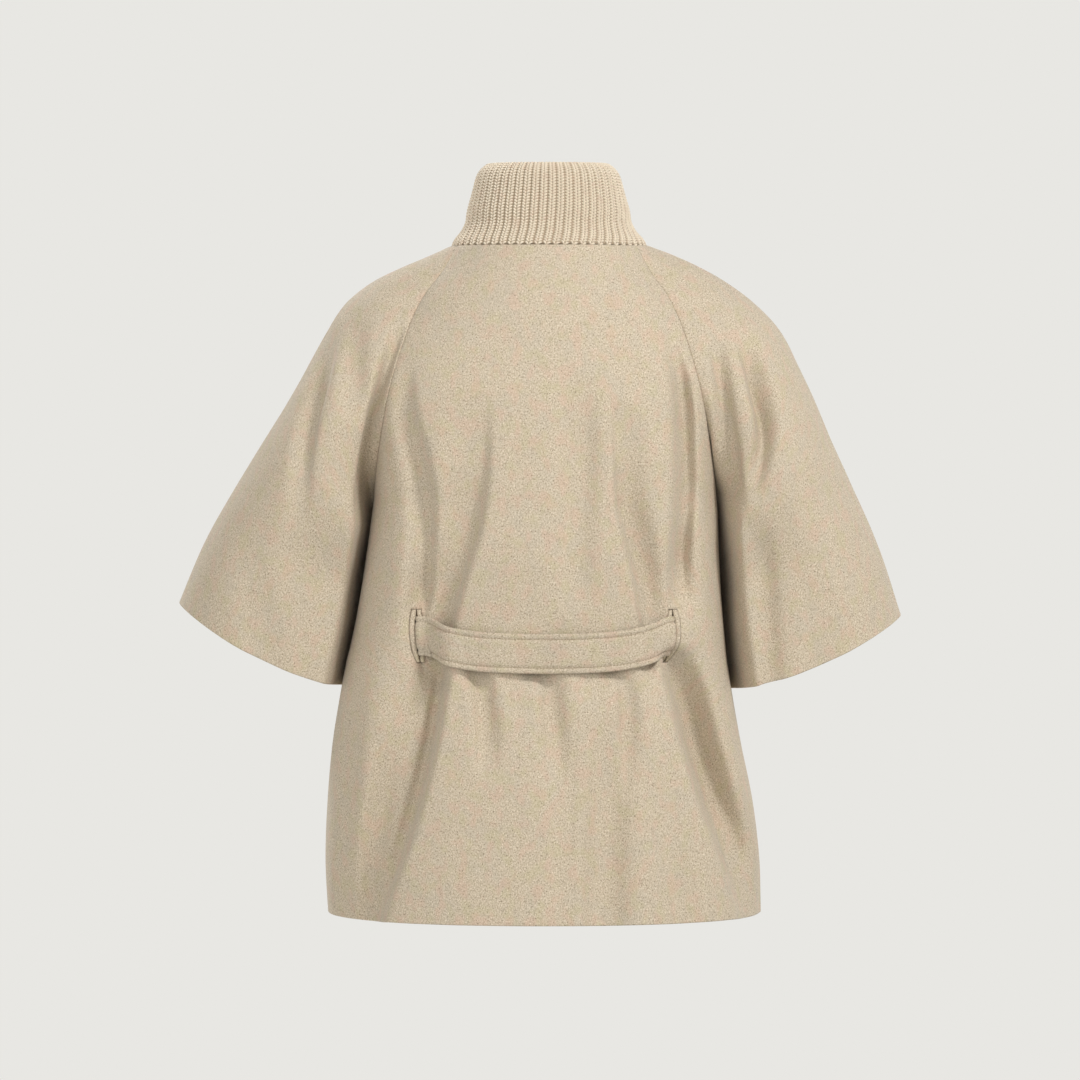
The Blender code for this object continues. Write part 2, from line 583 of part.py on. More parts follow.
def add_collar(material, collection):
    """Ribs stand out of the outer face; the inner face is plain. The right end laps the left."""
    lap = LAP / ring_length(neck_ring())
    ribs = RIBS + LAP_RIBS
    rib_shares = np.linspace(-lap, 1.0 + lap, ribs + 1)
    cell = (1.0 + 2 * lap) / ribs
    ridges = [[s, s + RIB_FLANK * cell, s + (1 - RIB_FLANK) * cell] for s in rib_shares[:-1]]
    outer_shares = np.concatenate(ridges + [[1.0 + lap]])
    ridge = np.array([0.0, 1.0, 1.0] * ribs + [0.0])
    vertices, outer, inner = [], [], []
    for height in COLLAR_LINES:
        rim = COLLAR_RIM if height == 1.0 else 0.0
        lift = SEAM_GAP if height == 0.0 else 0.0
        for shares, rows, raise_by in ((outer_shares, outer, ridge * RIB_RAISE - rim),
                                       (rib_shares, inner, rim - COLLAR_WALL)):
            points = collar_point(shares, height, raise_by)
            points[:, 1] += float(LAP_DROP(0.0)) * lapped_under(shares * ring_length(neck_ring()))
            points[:, 2] += lift
            rows.append(range(len(vertices), len(vertices) + len(points)))
            vertices.extend(points)
    faces = []
    for low, high in zip(outer, outer[1:]):
        faces += [(low[c], low[c + 1], high[c + 1], high[c]) for c in range(len(low) - 1)]
    for low, high in zip(inner, inner[1:]):
        faces += [(low[c], high[c], high[c + 1], low[c + 1]) for c in range(len(low) - 1)]
    for row in (0, -1):
        for rib in range(ribs):
            valley, rise, fall, next_valley = outer[row][3 * rib:3 * rib + 4]
            here, after = inner[row][rib:rib + 2]
            faces += [(valley, rise, here), (rise, fall, after, here), (fall, next_valley, after)]
    for column in (0, -1):
        for level in range(len(COLLAR_LINES) - 1):
            faces.append((outer[level][column], outer[level + 1][column],
                          inner[level + 1][column], inner[level][column]))
    return add_object("collar", vertices, faces, material, collection)


# ---- belt and its slits -------------------------------------------------------------------
def slot_frame(side):
    """Middle of a slit on the back's outer face, and the ways along and out of the cloth there."""
    return on_back(SIDE_SIGN[side] * SLOT_X, SLOT_Z)


def slot_point(side, z):
    """The point of the cloth over the middle of a slit at height z."""
    middle, along, _ = slot_frame(side)
    here = back_point(SIDE_SIGN[side] * SLOT_X, z)
    return here - along * np.dot(here - middle, along)


def slot_cutter(side, collection):
    """A box through the back, square to it, where a slit is."""
    centre, along, _ = slot_frame(side)
    width = SLOT_GAP + 2 * WELT_WIDTH + 2 * SEAM_GAP
    bpy.ops.mesh.primitive_cube_add(size=MM, location=centre * MM,
                                    rotation=(0.0, 0.0, math.atan2(along[1], along[0])))
    cutter = bpy.context.object
    cutter.name = "slot_cutter_" + side
    cutter.scale = (width, 40.0, SLOT_HEIGHT)
    cutter.display_type = "WIRE"
    cutter.hide_render = True
    for owner in list(cutter.users_collection):
        owner.objects.unlink(cutter)
    collection.objects.link(cutter)
    return cutter


def cut_slots(back, collection):
    for side in ("left", "right"):
        cut = back.modifiers.new("slit_" + side, "BOOLEAN")
        cut.operation = "DIFFERENCE"
        cut.object = slot_cutter(side, collection)


def add_welts(material, collection):
    """Two narrow folded strips that bind each slit, on the panel's points moved out."""
    inset = (SLOT_GAP + WELT_WIDTH) / 2
    heights = np.linspace(SLOT_Z + SLOT_HEIGHT / 2 - SEAM_GAP, SLOT_Z - SLOT_HEIGHT / 2 + SEAM_GAP, 7)
    for side in ("left", "right"):
        for place, way in (("outer", 1.0), ("inner", -1.0)):
            _, along, out = slot_frame(side)
            rows = []
            for z in heights:
                centre = slot_point(side, z) + along * SIDE_SIGN[side] * way * inset
                rows.append([centre + along * WELT_WIDTH * share + out * WELT_RAISE * crown
                             for share, crown in WELT_PROFILE])
            grid = np.array(rows)
            normals = np.broadcast_to(out, grid.shape)
            cloth(f"welt_{place}_{side}", grid, normals, material, collection, thickness=WELT_THICK)


def belt_standoff():
    """Height of the belt's underside over the back, clear of every crease it bridges."""
    spots = np.linspace(-104.0, 104.0, 9)
    heights = np.linspace(-BELT_WIDTH / 2, BELT_WIDTH / 2, 5)
    crest = []
    for x in spots:
        near = [on_back(x + dx, float(BELT_Z(abs(x))) + dz)[0][1] for dx in (-10, 0, 10) for dz in heights]
        crest.append(max(near) + BELT_BRIDGE)
    return spots, np.array(crest)


def belt_row(level):
    """The belt's middle line at one height above its own middle: out of the right slit, into the left."""
    spots, crest = belt_standoff()
    inside = -(WALL + BELT_CLEAR + BELT_THICK / 2)
    outside = WELT_RAISE + BELT_CLEAR + BELT_THICK / 2
    halves = {}
    for side in ("right", "left"):
        sign = SIDE_SIGN[side]
        points = []
        for x in np.linspace(BELT_INSIDE_END, SLOT_X + BELT_BEND + 5.0, 5):
            z = float(BELT_Z(x)) + level
            points.append(on_back(sign * x, z, inside)[0])
        middle = slot_point(side, float(BELT_Z(SLOT_X)) + level)
        _, along, out = slot_frame(side)
        away = along * sign
        for angle in np.radians((90.0, 60.0, 30.0, 0.0)):
            points.append(middle + away * BELT_BEND * (1 - math.cos(angle)) +
                          out * (inside + BELT_BEND * (1 - math.sin(angle))))
        for angle in np.radians((0.0, 30.0, 60.0, 90.0)):
            points.append(middle - away * BELT_BEND * (1 - math.cos(angle)) +
                          out * (outside - BELT_BEND * (1 - math.sin(angle))))
        halves[side] = points
    across = []
    for x, y in zip(spots, crest):
        across.append(np.array([x, y + BELT_THICK / 2, float(BELT_Z(abs(x))) + level]))
    return np.array(halves["right"] + across + halves["left"][::-1])


def add_belt(material, collection):
    levels = np.linspace(BELT_WIDTH / 2, -BELT_WIDTH / 2, 4)
    middle = np.array([belt_row(level) for level in levels])
    normals = grid_normals(middle, (0, 1, 0))
    normals[:, :, 2] = 0.0
    normals /= np.linalg.norm(normals, axis=2, keepdims=True)
    outer = middle + normals * BELT_THICK / 2
    return cloth("belt", outer, normals, material, collection, thickness=BELT_THICK)


# ---- buttons ------------------------------------------------------------------------------
def add_buttons(material, collection):
    """Turned discs with a raised rim, lying on the over front."""
    profile = [(r * BUTTON_RADIUS * MM, 0.0, h * BUTTON_THICK * MM) for r, h in BUTTON_PROFILE]
    steps = [(i, i + 1) for i in range(len(profile) - 1)]
    for number, z in enumerate(BUTTON_Z, 1):
        line, normal = front_at(z)
        mesh = bpy.data.meshes.new(f"button_{number}")
        mesh.from_pydata(profile, steps, [])
        mesh.materials.append(material)
        item = bpy.data.objects.new(f"button_{number}", mesh)
        collection.objects.link(item)
        spin = item.modifiers.new("turned", "SCREW")
        spin.axis = "Z"
        spin.steps = spin.render_steps = BUTTON_STEPS
        spin.use_merge_vertices = True
        spin.merge_threshold = 0.0001
        spin.use_normal_calculate = True
        item.location = (line + normal * BUTTON_CLEAR) * MM
        item.rotation_euler = (math.pi / 2 - math.asin(normal[2]), 0.0, 0.0)


def centre_front_y(z):
    levels = np.linspace(0.0, UNDERARM, 60)
    chest_z = CHEST["front_z"](levels)
    if z > chest_z[-1]:
        return -float(CHEST["front_y"](np.interp(-z, -chest_z, levels)))
    return -float(SKIRT["front_y"](z))


def front_at(z):
    """A point of the over front on its centre line at height z, and its outward normal."""
    y = centre_front_y(z)
    slope = (centre_front_y(z - 10.0) - y) / 10.0
    normal = np.array([0.0, -1.0, -slope])
    return np.array([0.0, y, z]), normal / np.linalg.norm(normal)


# ---- build --------------------------------------------------------------------------------
def new_material(name, colour, roughness):
    material = bpy.data.materials.new(name)
    material.use_nodes = True
    shader = material.node_tree.nodes["Principled BSDF"]
    shader.inputs["Base Color"].default_value = colour
    shader.inputs["Roughness"].default_value = roughness
    shader.inputs["Metallic"].default_value = 0.0
    return material


def new_collection(name):
    collection = bpy.data.collections.new(name)
    bpy.context.scene.collection.children.link(collection)
    return collection


def main():
    for item in list(bpy.data.objects):
        bpy.data.objects.remove(item)
    garment = new_collection("poncho_jacket")
    cutters = new_collection("cutters")
    wool = new_material("wool_cloth", WOOL, 0.95)
    knit = new_material("rib_knit", KNIT, 0.95)
    horn = new_material("horn_button", HORN, 0.35)
    panels = add_panels(wool, garment)
    cut_slots(panels["back"], cutters)
    add_collar(knit, garment)
    add_welts(wool, garment)
    add_belt(wool, garment)
    add_buttons(horn, garment)


main()
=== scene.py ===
# %% [markdown]
# # A poncho jacket in heathered wool
# The real jacket is cut from one thick, felted wool cloth: a back, two fronts that button over each
# other, and wide cape sleeves whose seams run up into the neck. A rib-knit collar is sewn on top, and
# a belt of the same cloth comes out of two bound slits in the back. A script could model such a form
# by hand, simulate it, or work it out from sections. Sections are used here, because a few measured
# rows give the exact outline of the real garment, and every piece stays its own sheet of cloth.

import json
import math

import bmesh
import bpy
import numpy as np
from mathutils import Matrix, Vector, noise

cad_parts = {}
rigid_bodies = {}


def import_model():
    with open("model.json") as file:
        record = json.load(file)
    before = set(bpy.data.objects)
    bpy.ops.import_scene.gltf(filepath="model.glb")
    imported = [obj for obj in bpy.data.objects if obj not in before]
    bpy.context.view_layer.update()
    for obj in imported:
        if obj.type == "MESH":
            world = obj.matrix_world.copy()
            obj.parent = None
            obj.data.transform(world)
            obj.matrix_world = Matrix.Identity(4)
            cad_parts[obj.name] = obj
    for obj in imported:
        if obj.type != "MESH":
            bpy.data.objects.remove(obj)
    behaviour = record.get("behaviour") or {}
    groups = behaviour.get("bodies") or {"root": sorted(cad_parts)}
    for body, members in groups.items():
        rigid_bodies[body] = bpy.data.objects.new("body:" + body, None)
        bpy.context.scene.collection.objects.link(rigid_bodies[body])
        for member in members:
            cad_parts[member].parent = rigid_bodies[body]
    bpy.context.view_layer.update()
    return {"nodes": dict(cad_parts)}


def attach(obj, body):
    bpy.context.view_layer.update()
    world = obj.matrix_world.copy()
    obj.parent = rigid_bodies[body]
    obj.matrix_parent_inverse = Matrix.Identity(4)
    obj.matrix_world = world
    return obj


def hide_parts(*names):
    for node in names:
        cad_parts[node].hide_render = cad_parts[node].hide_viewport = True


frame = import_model()
MM = 0.001
BODY = "root"
print("nodes in the frame:", sorted(frame["nodes"]))

# %% [markdown]
# ## Smooth curves through short tables
# A pattern cutter works with a few measures and joins them with a curve rule. The helper below does
# the same: it passes a smooth curve through the rows of a table. A spline object could do this too,
# but a plain function can be asked for any value, which suits sections worked out in numbers.

# %% Curves through tables
def through(rows, columns, key, value):
    """A smooth function of column key that passes through each row's value."""
    table = np.array(rows, float)
    order = np.argsort(table[:, columns.index(key)])
    knots = table[order, columns.index(key)]
    values = table[order, columns.index(value)]
    slopes = np.gradient(values, knots)

    def at(where):
        where = np.clip(np.asarray(where, float), knots[0], knots[-1])
        cell = np.clip(np.searchsorted(knots, where, side="right") - 1, 0, len(knots) - 2)
        width = knots[cell + 1] - knots[cell]
        t = (where - knots[cell]) / width
        keep = (1 + 2 * t) * (1 - t) ** 2 * values[cell] + t * t * (3 - 2 * t) * values[cell + 1]
        lean = t * (1 - t) ** 2 * slopes[cell] - t * t * (1 - t) * slopes[cell + 1]
        return keep + lean * width
    return at


def table_curves(rows, columns):
    return {name: through(rows, columns, columns[0], name) for name in columns[1:]}


def smooth(low, high, value):
    """0 below low, 1 above high, and a soft step between."""
    t = np.clip((np.asarray(value, float) - low) / (high - low), 0.0, 1.0)
    return t * t * (3.0 - 2.0 * t)


print("a soft step from 0 to 10 gives", round(float(smooth(0.0, 10.0, 3.0)), 3), "at 3")

# %% [markdown]
# ## The jacket's measures
# These are the jacket's own sizes in millimetres, the same ones that its solids were worked out
# from, so each sheet of cloth lies where its solid lies. "along" runs down a sleeve, from 0 at the
# neck to 1 at its hem, and the armhole seam ends under the arm at UNDERARM.

# %% Driving sizes
WALL = 2.2
SEAM_GAP = 0.12         # between two sewn sheets
UNDERARM = 0.61
UNDERARM_Z = -268.0
HEM_Z = -668.0
SLEEVE_HEM_BOW = 11.0
SLEEVE_FORWARD = 46.0
SLEEVE_FLANK = {"left": 0.11, "right": 0.16}    # beside the body its back turns in over this share
FLANK_FROM, FLANK_FULL = 0.46, 0.76             # and this far down the sleeve
FRONT_NECK_IN, FRONT_NECK_DROP = 5.9, 16.3      # the armhole starts nearer and lower in front than behind
LAP = 28.0
LAP_HIDDEN, LAP_FADE = 12.0, 42.0            # past the overlap the under front stays low, then comes out
SIDE_SIGN = {"left": 1.0, "right": -1.0}
OUTWARD = {"back": (0, 1, 0), "front": (0, -1, 0)}
print("underarm", -UNDERARM_Z, "mm and hem", -HEM_Z, "mm under the neck seam, fronts over each other by", LAP, "mm")

# %% The sleeve's sections
ARM_COLUMNS = ("along", "turn_back", "depth_back", "turn_front", "depth_front")
ARM_ROWS = [
    (0.000, 23.4, 83.0, 31.0, 76.0),
    (0.0625, 38.0, 78.0, 46.0, 72.0),
    (0.125, 52.0, 78.0, 60.0, 72.0),
    (0.190, 65.0, 83.0, 72.0, 77.0),
    (0.250, 78.0, 89.0, 85.0, 83.0),
    (0.340, 102.0, 96.0, 106.0, 91.0),
    (0.440, 130.0, 102.0, 132.0, 98.0),
    (0.520, 153.0, 106.0, 154.0, 102.0),
    (UNDERARM, 180.0, 108.0, 180.0, 105.0),
]
SLEEVE_COLUMNS = ("along", "over_x", "over_z", "seam_x", "seam_z")
SLEEVE_ROWS = {
    "left": [
        (0.000, 93.0, -3.5, 87.0, -4.5),
        (0.0625, 121.0, -15.5, 101.6, -31.0),
        (0.125, 148.0, -27.0, 118.6, -54.5),
        (0.190, 175.0, -41.0, 131.8, -82.0),
        (0.250, 197.0, -58.5, 140.8, -109.0),
        (0.340, 219.0, -90.0, 152.0, -148.5),
        (0.440, 241.5, -131.0, 161.0, -193.0),
        (0.520, 260.5, -164.0, 167.0, -229.0),
        (UNDERARM, 283.5, -200.0, 172.0, UNDERARM_Z),
        (0.700, 306.0, -236.0, 178.4, -308.0),
        (0.850, 341.5, -297.0, 187.4, -376.0),
        (1.000, 369.5, -360.5, 201.6, -443.5),
    ],
    "right": [
        (0.000, 101.0, -2.5, 91.0, -4.5),
        (0.0625, 125.5, -11.5, 104.0, -31.0),
        (0.125, 151.5, -23.0, 120.0, -54.5),
        (0.190, 178.5, -38.0, 132.8, -82.0),
        (0.250, 202.0, -54.5, 141.4, -109.0),
        (0.340, 232.0, -84.0, 152.0, -148.5),
        (0.440, 254.5, -125.0, 161.0, -193.0),
        (0.520, 269.5, -156.0, 167.0, -229.0),
        (UNDERARM, 286.0, -195.0, 172.0, UNDERARM_Z),
        (0.700, 305.0, -236.0, 173.8, -309.0),
        (0.850, 335.5, -303.0, 176.0, -377.0),
        (1.000, 359.5, -373.0, 184.2, -447.0),
    ],
}
ARM = table_curves(ARM_ROWS, ARM_COLUMNS)
SLEEVE = {side: table_curves(rows, SLEEVE_COLUMNS) for side, rows in SLEEVE_ROWS.items()}
print("sleeve hems across:", [round(float(arm["over_x"](1.0) - arm["seam_x"](1.0))) for arm in SLEEVE.values()])

# %% The body's sections
CHEST_COLUMNS = ("along", "back_y", "back_z", "back_turn", "front_y", "front_z", "front_turn", "square")
CHEST_ROWS = [
    (0.000, 83.0, -7.0, 66.6, 76.0, -55.0, 59.0, 2.00),
    (0.0625, 97.0, -31.0, 64.0, 86.0, -72.0, 57.0, 2.00),
    (0.125, 108.0, -54.5, 62.0, 94.0, -89.0, 56.0, 2.02),
    (0.190, 118.0, -82.0, 61.0, 102.0, -107.0, 57.0, 2.06),
    (0.250, 126.0, -109.0, 62.0, 110.0, -127.0, 60.0, 2.12),
    (0.340, 136.0, -148.5, 68.0, 121.0, -157.0, 68.0, 2.28),
    (0.440, 142.0, -193.0, 77.0, 131.0, -196.0, 77.0, 2.50),
    (0.520, 145.0, -229.0, 84.0, 138.0, -230.0, 84.0, 2.65),
    (UNDERARM, 146.0, UNDERARM_Z, 90.0, 143.0, UNDERARM_Z, 90.0, 2.75),
]
SKIRT_COLUMNS = ("z", "left_x", "right_x", "back_y", "front_y", "square")
SKIRT_ROWS = [
    (UNDERARM_Z, 172.0, 172.0, 146.0, 143.0, 2.75),
    (-317.0, 179.0, 173.5, 146.0, 147.0, 2.75),
    (-350.0, 184.0, 175.5, 142.0, 149.0, 2.70),
    (-392.0, 192.0, 179.0, 137.0, 150.0, 2.60),
    (-417.0, 198.0, 181.5, 139.0, 150.0, 2.55),
    (-450.0, 204.0, 186.5, 144.0, 151.0, 2.50),
    (-500.0, 212.0, 195.5, 150.0, 154.0, 2.40),
    (-557.0, 217.0, 207.0, 154.0, 158.0, 2.30),
    (-617.0, 219.0, 214.0, 157.0, 162.0, 2.25),
    (HEM_Z, 216.5, 215.5, 160.0, 165.0, 2.20),
]
CHEST = table_curves(CHEST_ROWS, CHEST_COLUMNS)
SKIRT = table_curves(SKIRT_ROWS, SKIRT_COLUMNS)
print("width of the body's hem:", SKIRT["left_x"](HEM_Z) + SKIRT["right_x"](HEM_Z))

# %% [markdown]
# ## Lines across the cloth
# Each piece is a grid: rows of points from seam to seam. A row of the body is half a rounded
# rectangle, a row of a sleeve is part of an oval between its two seams. Near an edge the points lie
# closer together, because that is where the cloth turns over and the light changes fast.

# %% Rows of points on a sleeve
DENSE = 481
LEANS_FROM = 0.80       # beside the body a sleeve leans forward in full from here down


def armhole(along, face, side):
    """Armhole seam as x, y, z, with x measured outwards."""
    x, z = SLEEVE[side]["seam_x"](along), SLEEVE[side]["seam_z"](along)
    y = ARM["depth_" + face](along) * math.sin(math.radians(ARM["turn_" + face](along)))
    if face == "front":
        left = max(0.0, 1.0 - along / UNDERARM) ** 2
        return x - FRONT_NECK_IN * left, -y, z - FRONT_NECK_DROP * left
    return x, y, z


def fuller(across, along, side):
    """How much flatter than an oval a sleeve's back is beside the body, with a steep flank."""
    flank = np.sin(math.pi / 2 * np.clip(across / SLEEVE_FLANK[side], 0.0, 1.0))
    oval_rise = np.sqrt(np.maximum(1.0 - (2.0 * across - 1.0) ** 2, 0.0))
    return np.where(across < 0.5, flank - oval_rise, 0.0) * smooth(FLANK_FROM, FLANK_FULL, along)


def sleeve_line(along, side, face):
    """One section of a sleeve half, from its armhole or underarm seam to the overarm seam."""
    below = along > UNDERARM
    turn = math.pi if below else math.radians(ARM["turn_" + face](along))
    depth = ARM["depth_" + face](min(along, UNDERARM))
    angle = np.linspace(turn, 0.0, DENSE)
    across = (np.cos(angle) - math.cos(turn)) / (1.0 - math.cos(turn))
    under_x, under_z = SLEEVE[side]["seam_x"](along), SLEEVE[side]["seam_z"](along)
    if not below:
        under_x, _, under_z = armhole(along, face, side)
    bow = SLEEVE_HEM_BOW * smooth(UNDERARM, 1.0, along) * np.sin(math.pi * across)
    near_body = (1.0 - across) ** 2
    forward = smooth(UNDERARM, LEANS_FROM, along) * near_body + along ** 2 * (1.0 - near_body)
    x = under_x + (SLEEVE[side]["over_x"](along) - under_x) * across
    z = under_z + (SLEEVE[side]["over_z"](along) - under_z) * across - bow
    rise = np.sin(angle) + (fuller(across, along, side) if face == "back" else 0.0)
    return np.stack([x * SIDE_SIGN[side], OUTWARD[face][1] * depth * rise - SLEEVE_FORWARD * forward, z], axis=1)


print("a sleeve's row runs from", *sleeve_line(1.0, "left", "back")[[0, -1], 0].round(), "mm beside the centre")

# %% Rows of points on the body
def body_line(level, face, on_chest):
    """One section of the body, from the right seam over the centre to the left seam."""
    if on_chest:
        left, right = armhole(level, face, "left"), armhole(level, face, "right")
        crown_y, crown_z = CHEST[face + "_y"](level), CHEST[face + "_z"](level)
        turn, square = math.radians(CHEST[face + "_turn"](level)), CHEST["square"](level)
    else:
        left, right = ((SKIRT[side + "_x"](level), 0.0, level) for side in ("left", "right"))
        crown_y, crown_z = SKIRT[face + "_y"](level), level
        turn, square = math.pi / 2, SKIRT["square"](level)
    crown_y = crown_y * OUTWARD[face][1]
    angle = np.linspace(-turn, turn, 2 * DENSE - 1)
    power = 2.0 / square
    across = np.sign(angle) * np.abs(np.sin(angle)) ** power / math.sin(turn) ** power
    end = abs(math.cos(turn)) ** power
    rise = (np.abs(np.cos(angle)) ** power - end) / (1.0 - end)
    half, lean = (left[0] + right[0]) / 2, (left[0] - right[0]) / 2
    x = half * across + lean * across ** 2
    return np.stack([x, left[1] + (crown_y - left[1]) * rise, left[2] + (crown_z - left[2]) * rise], axis=1)


print("a row of the body starts as", len(body_line(HEM_Z, "back", False)), "points")

# %% Spacing the points
EDGE_STEPS = np.array([0.0, 0.3, 0.8, 1.5, 2.5, 4.0, 6.0, 8.5])


def travelled(points):
    return np.concatenate([[0.0], np.cumsum(np.linalg.norm(np.diff(points, axis=0), axis=1))])


def spread(points, cells):
    """Points along a line: fine steps at both ends and even ones between them."""
    reach = travelled(points)
    fine = EDGE_STEPS
    stops = np.concatenate([fine, np.linspace(fine[-1], reach[-1] - fine[-1], cells)[1:-1], reach[-1] - fine[::-1]])
    return np.stack([np.interp(stops, reach, points[:, axis]) for axis in range(3)], axis=1)


print("over the back at the hem:", round(travelled(body_line(HEM_Z, "back", False))[-1]), "mm of cloth")

# %% Levels down the garment
SLEEVE_LENGTH = 452.0   # of the overarm seam, for the steps near its ends
CHEST_STEPS = 56
SLEEVE_STEPS = 36       # below the underarm
SKIRT_STEPS = 84
FINE_SHARES = EDGE_STEPS / SLEEVE_LENGTH
CHEST_LEVELS = np.concatenate([FINE_SHARES, np.linspace(FINE_SHARES[-1], UNDERARM, CHEST_STEPS)[1:]])
SLEEVE_LEVELS = np.concatenate([CHEST_LEVELS, np.linspace(UNDERARM, 1.0 - FINE_SHARES[-1], SLEEVE_STEPS)[1:-1],
                                1.0 - FINE_SHARES[::-1]])
SKIRT_LEVELS = np.concatenate([np.linspace(UNDERARM_Z, HEM_Z + EDGE_STEPS[-1], SKIRT_STEPS)[1:-1],
                               HEM_Z + EDGE_STEPS[::-1]])
print(len(CHEST_LEVELS), "chest rows,", len(SKIRT_LEVELS), "skirt rows,", len(SLEEVE_LEVELS), "sleeve rows")

# %% All rows of a panel
TOO_NEAR = 0.01         # to a cut, for a point of its own


def cut_at(line, x):
    return np.array([[x, np.interp(x, line[:, 0], line[:, 1]), np.interp(x, line[:, 0], line[:, 2])]])


def body_lines(face, cells, first_x=None, last_x=None):
    """All rows of the back, or of one front up to a distance past the centre."""
    rows = []
    for level, on_chest in [(s, True) for s in CHEST_LEVELS] + [(z, False) for z in SKIRT_LEVELS]:
        line = body_line(level, face, on_chest)
        if first_x is not None:
            line = np.vstack([cut_at(line, first_x), line[line[:, 0] > first_x + TOO_NEAR]])
        if last_x is not None:
            line = np.vstack([line[line[:, 0] < last_x - TOO_NEAR], cut_at(line, last_x)])
        rows.append(spread(line, cells))
    return np.array(rows)

# %% [markdown]
# ## Creases
# The belt draws the back in, and the loose cloth falls into folds above and below it. On the real
# jacket each fold is a soft hollow with one steep flank, where the cloth laps a little over itself.
# Cloth simulation would make folds of its own choosing, so they are listed one by one: a centre line
# with a depth at each point, and how far the hollow reaches to the wearer's left and right.

# %% Fold tables
LINE_COLUMNS = ("x", "z", "depth")
BACK_FOLDS = [          # each fold is its line, and its reach to the wearer's left and right
    # from under the shoulder down to the wearer's left slit
    ([(134, -120, 0), (133, -162, 8), (128, -191, 11), (121, -215, 13), (116, -239, 15), (113, -278, 16),
      (114, -316, 16), (117, -352, 14), (123, -378, 6), (128, -400, 0)], 17, 6.5),
    # to the belt on the left
    ([(60, -155, 0), (61, -210, 8), (63, -239, 12), (67, -268, 17), (73, -297, 20), (81, -321, 22), (88, -345, 23),
      (95, -372, 20), (100, -400, 12), (103, -416, 0)], 34, 7.5),
    # under the belt, and on as the deep fold down to the hem
    ([(97, -392, 0), (98, -404, 8), (99, -424, 19), (103, -451, 25), (112, -500, 28), (124, -548, 29),
      (139, -596, 29), (157, -645, 28), (164, HEM_Z, 28)], 44, 6),
    ([(99, -400, 0), (100, -424, 6), (105, -451, 8), (114, -500, 8), (126, -548, 6), (141, -596, 5), (158, -645, 3),
      (165, HEM_Z, 3)], 7, 4),
    # the two creases over the right half of the belt
    ([(-30, -130, 0), (-31, -175, 6), (-32, -205, 9), (-32, -240, 9), (-29, -285, 8), (-28, -330, 6),
      (-28, -370, 0)], 18, 18),
    ([(-67, -160, 0), (-69, -190, 7), (-71, -220, 11), (-72, -249, 16), (-74, -268, 19), (-79, -287, 21),
      (-83, -307, 22), (-88, -326, 22), (-92, -350, 20), (-96, -376, 14), (-100, -400, 6), (-102, -421, 4),
      (-106, -452, 0)], 4.5, 24),
    # from under the right shoulder to the right slit
    ([(-124, -95, 0), (-127, -114, 6), (-131, -133, 12), (-133, -152, 17), (-135, -181, 20), (-136, -215, 21),
      (-137, -239, 21), (-135, -268, 21), (-133, -297, 20), (-131, -326, 15), (-131, -365, 0)], 9, 9),
    ([(-132, -280, 0), (-134, -325, 12), (-135, -352, 12), (-135, -384, 0)], 15, 15),
    # from the right slit to the hem, the deepest of all
    ([(-119, -398, 0), (-121, -414, 20), (-126, -434, 38), (-132, -455, 48), (-138, -480, 54), (-145, -505, 56),
      (-153, -530, 56), (-161, -555, 54), (-170, -580, 49), (-179, -606, 42), (-188, -632, 32), (-198, HEM_Z, 20)],
     8, 26),
    # hollows that the belt's pull leaves under its lower edge
    ([(112, -388, 0), (112, -402, 10), (109, -422, 14), (106, -434, 9), (104, -446, 0)], 13, 9),
    ([(66, -392, 0), (66, -404, 7), (66, -426, 10), (65, -434, 6), (64, -444, 0)], 11, 11),
    ([(8, -392, 0), (8, -404, 7), (8, -427, 11), (7, -435, 6), (6, -446, 0)], 15, 15),
    ([(-64, -390, 0), (-64, -402, 7), (-65, -424, 9), (-66, -432, 5), (-67, -440, 0)], 12, 12),
    ([(-99, -384, 0), (-99, -396, 7), (-100, -416, 9), (-101, -425, 5), (-102, -434, 0)], 7, 7),
    # short creases that spread under the belt
    ([(63, -424, 2), (62, -442, 10), (59, -475, 11), (57, -530, 0)], 9, 13),
    ([(-3, -424, 2), (-4, -445, 9), (-6, -475, 10), (-7, -540, 0)], 9, 13),
    ([(-74, -424, 2), (-76, -445, 8), (-78, -490, 8), (-80, -555, 0)], 6, 13),
    ([(30, -418, 3), (30, -436, 4), (29, -470, 0)], 12, 12),
    ([(-45, -418, 3), (-45, -434, 4), (-46, -465, 0)], 12, 12),
    # long soft hollows down the skirt
    ([(-22, -460, 0), (-22, -510, 4), (-20, -580, 5), (-18, HEM_Z, 5)], 14, 12),
    ([(-58, -460, 0), (-57, -520, 12), (-55, -600, 16), (-54, HEM_Z, 16)], 18, 24),
    ([(-104, -480, 0), (-112, -560, 5), (-124, -620, 7), (-132, HEM_Z, 8)], 14, 20),
    ([(151, -480, 0), (156, -520, 5), (162, -567, 8), (168, -625, 9), (172, HEM_Z, 9)], 12, 12),
    ([(187, -420, 0), (190, -480, 5), (196, -560, 6), (199, HEM_Z, 5)], 12, 12),
]
FRONT_FOLDS = [
    ([(95, -170, 0), (98, -260, 5), (104, -380, 6), (112, -500, 9), (126, -590, 12),
      (140, HEM_Z, 14)], 26, 12),
    ([(150, -230, 0), (152, -320, 5), (158, -420, 6), (165, -520, 0)], 14, 14),
    ([(-88, -150, 0), (-92, -240, 5), (-100, -350, 7), (-112, -480, 9), (-128, -590, 13),
      (-142, HEM_Z, 15)], 12, 24),
    ([(-66, -480, 0), (-70, -560, 4), (-76, HEM_Z, 7)], 16, 16),
]
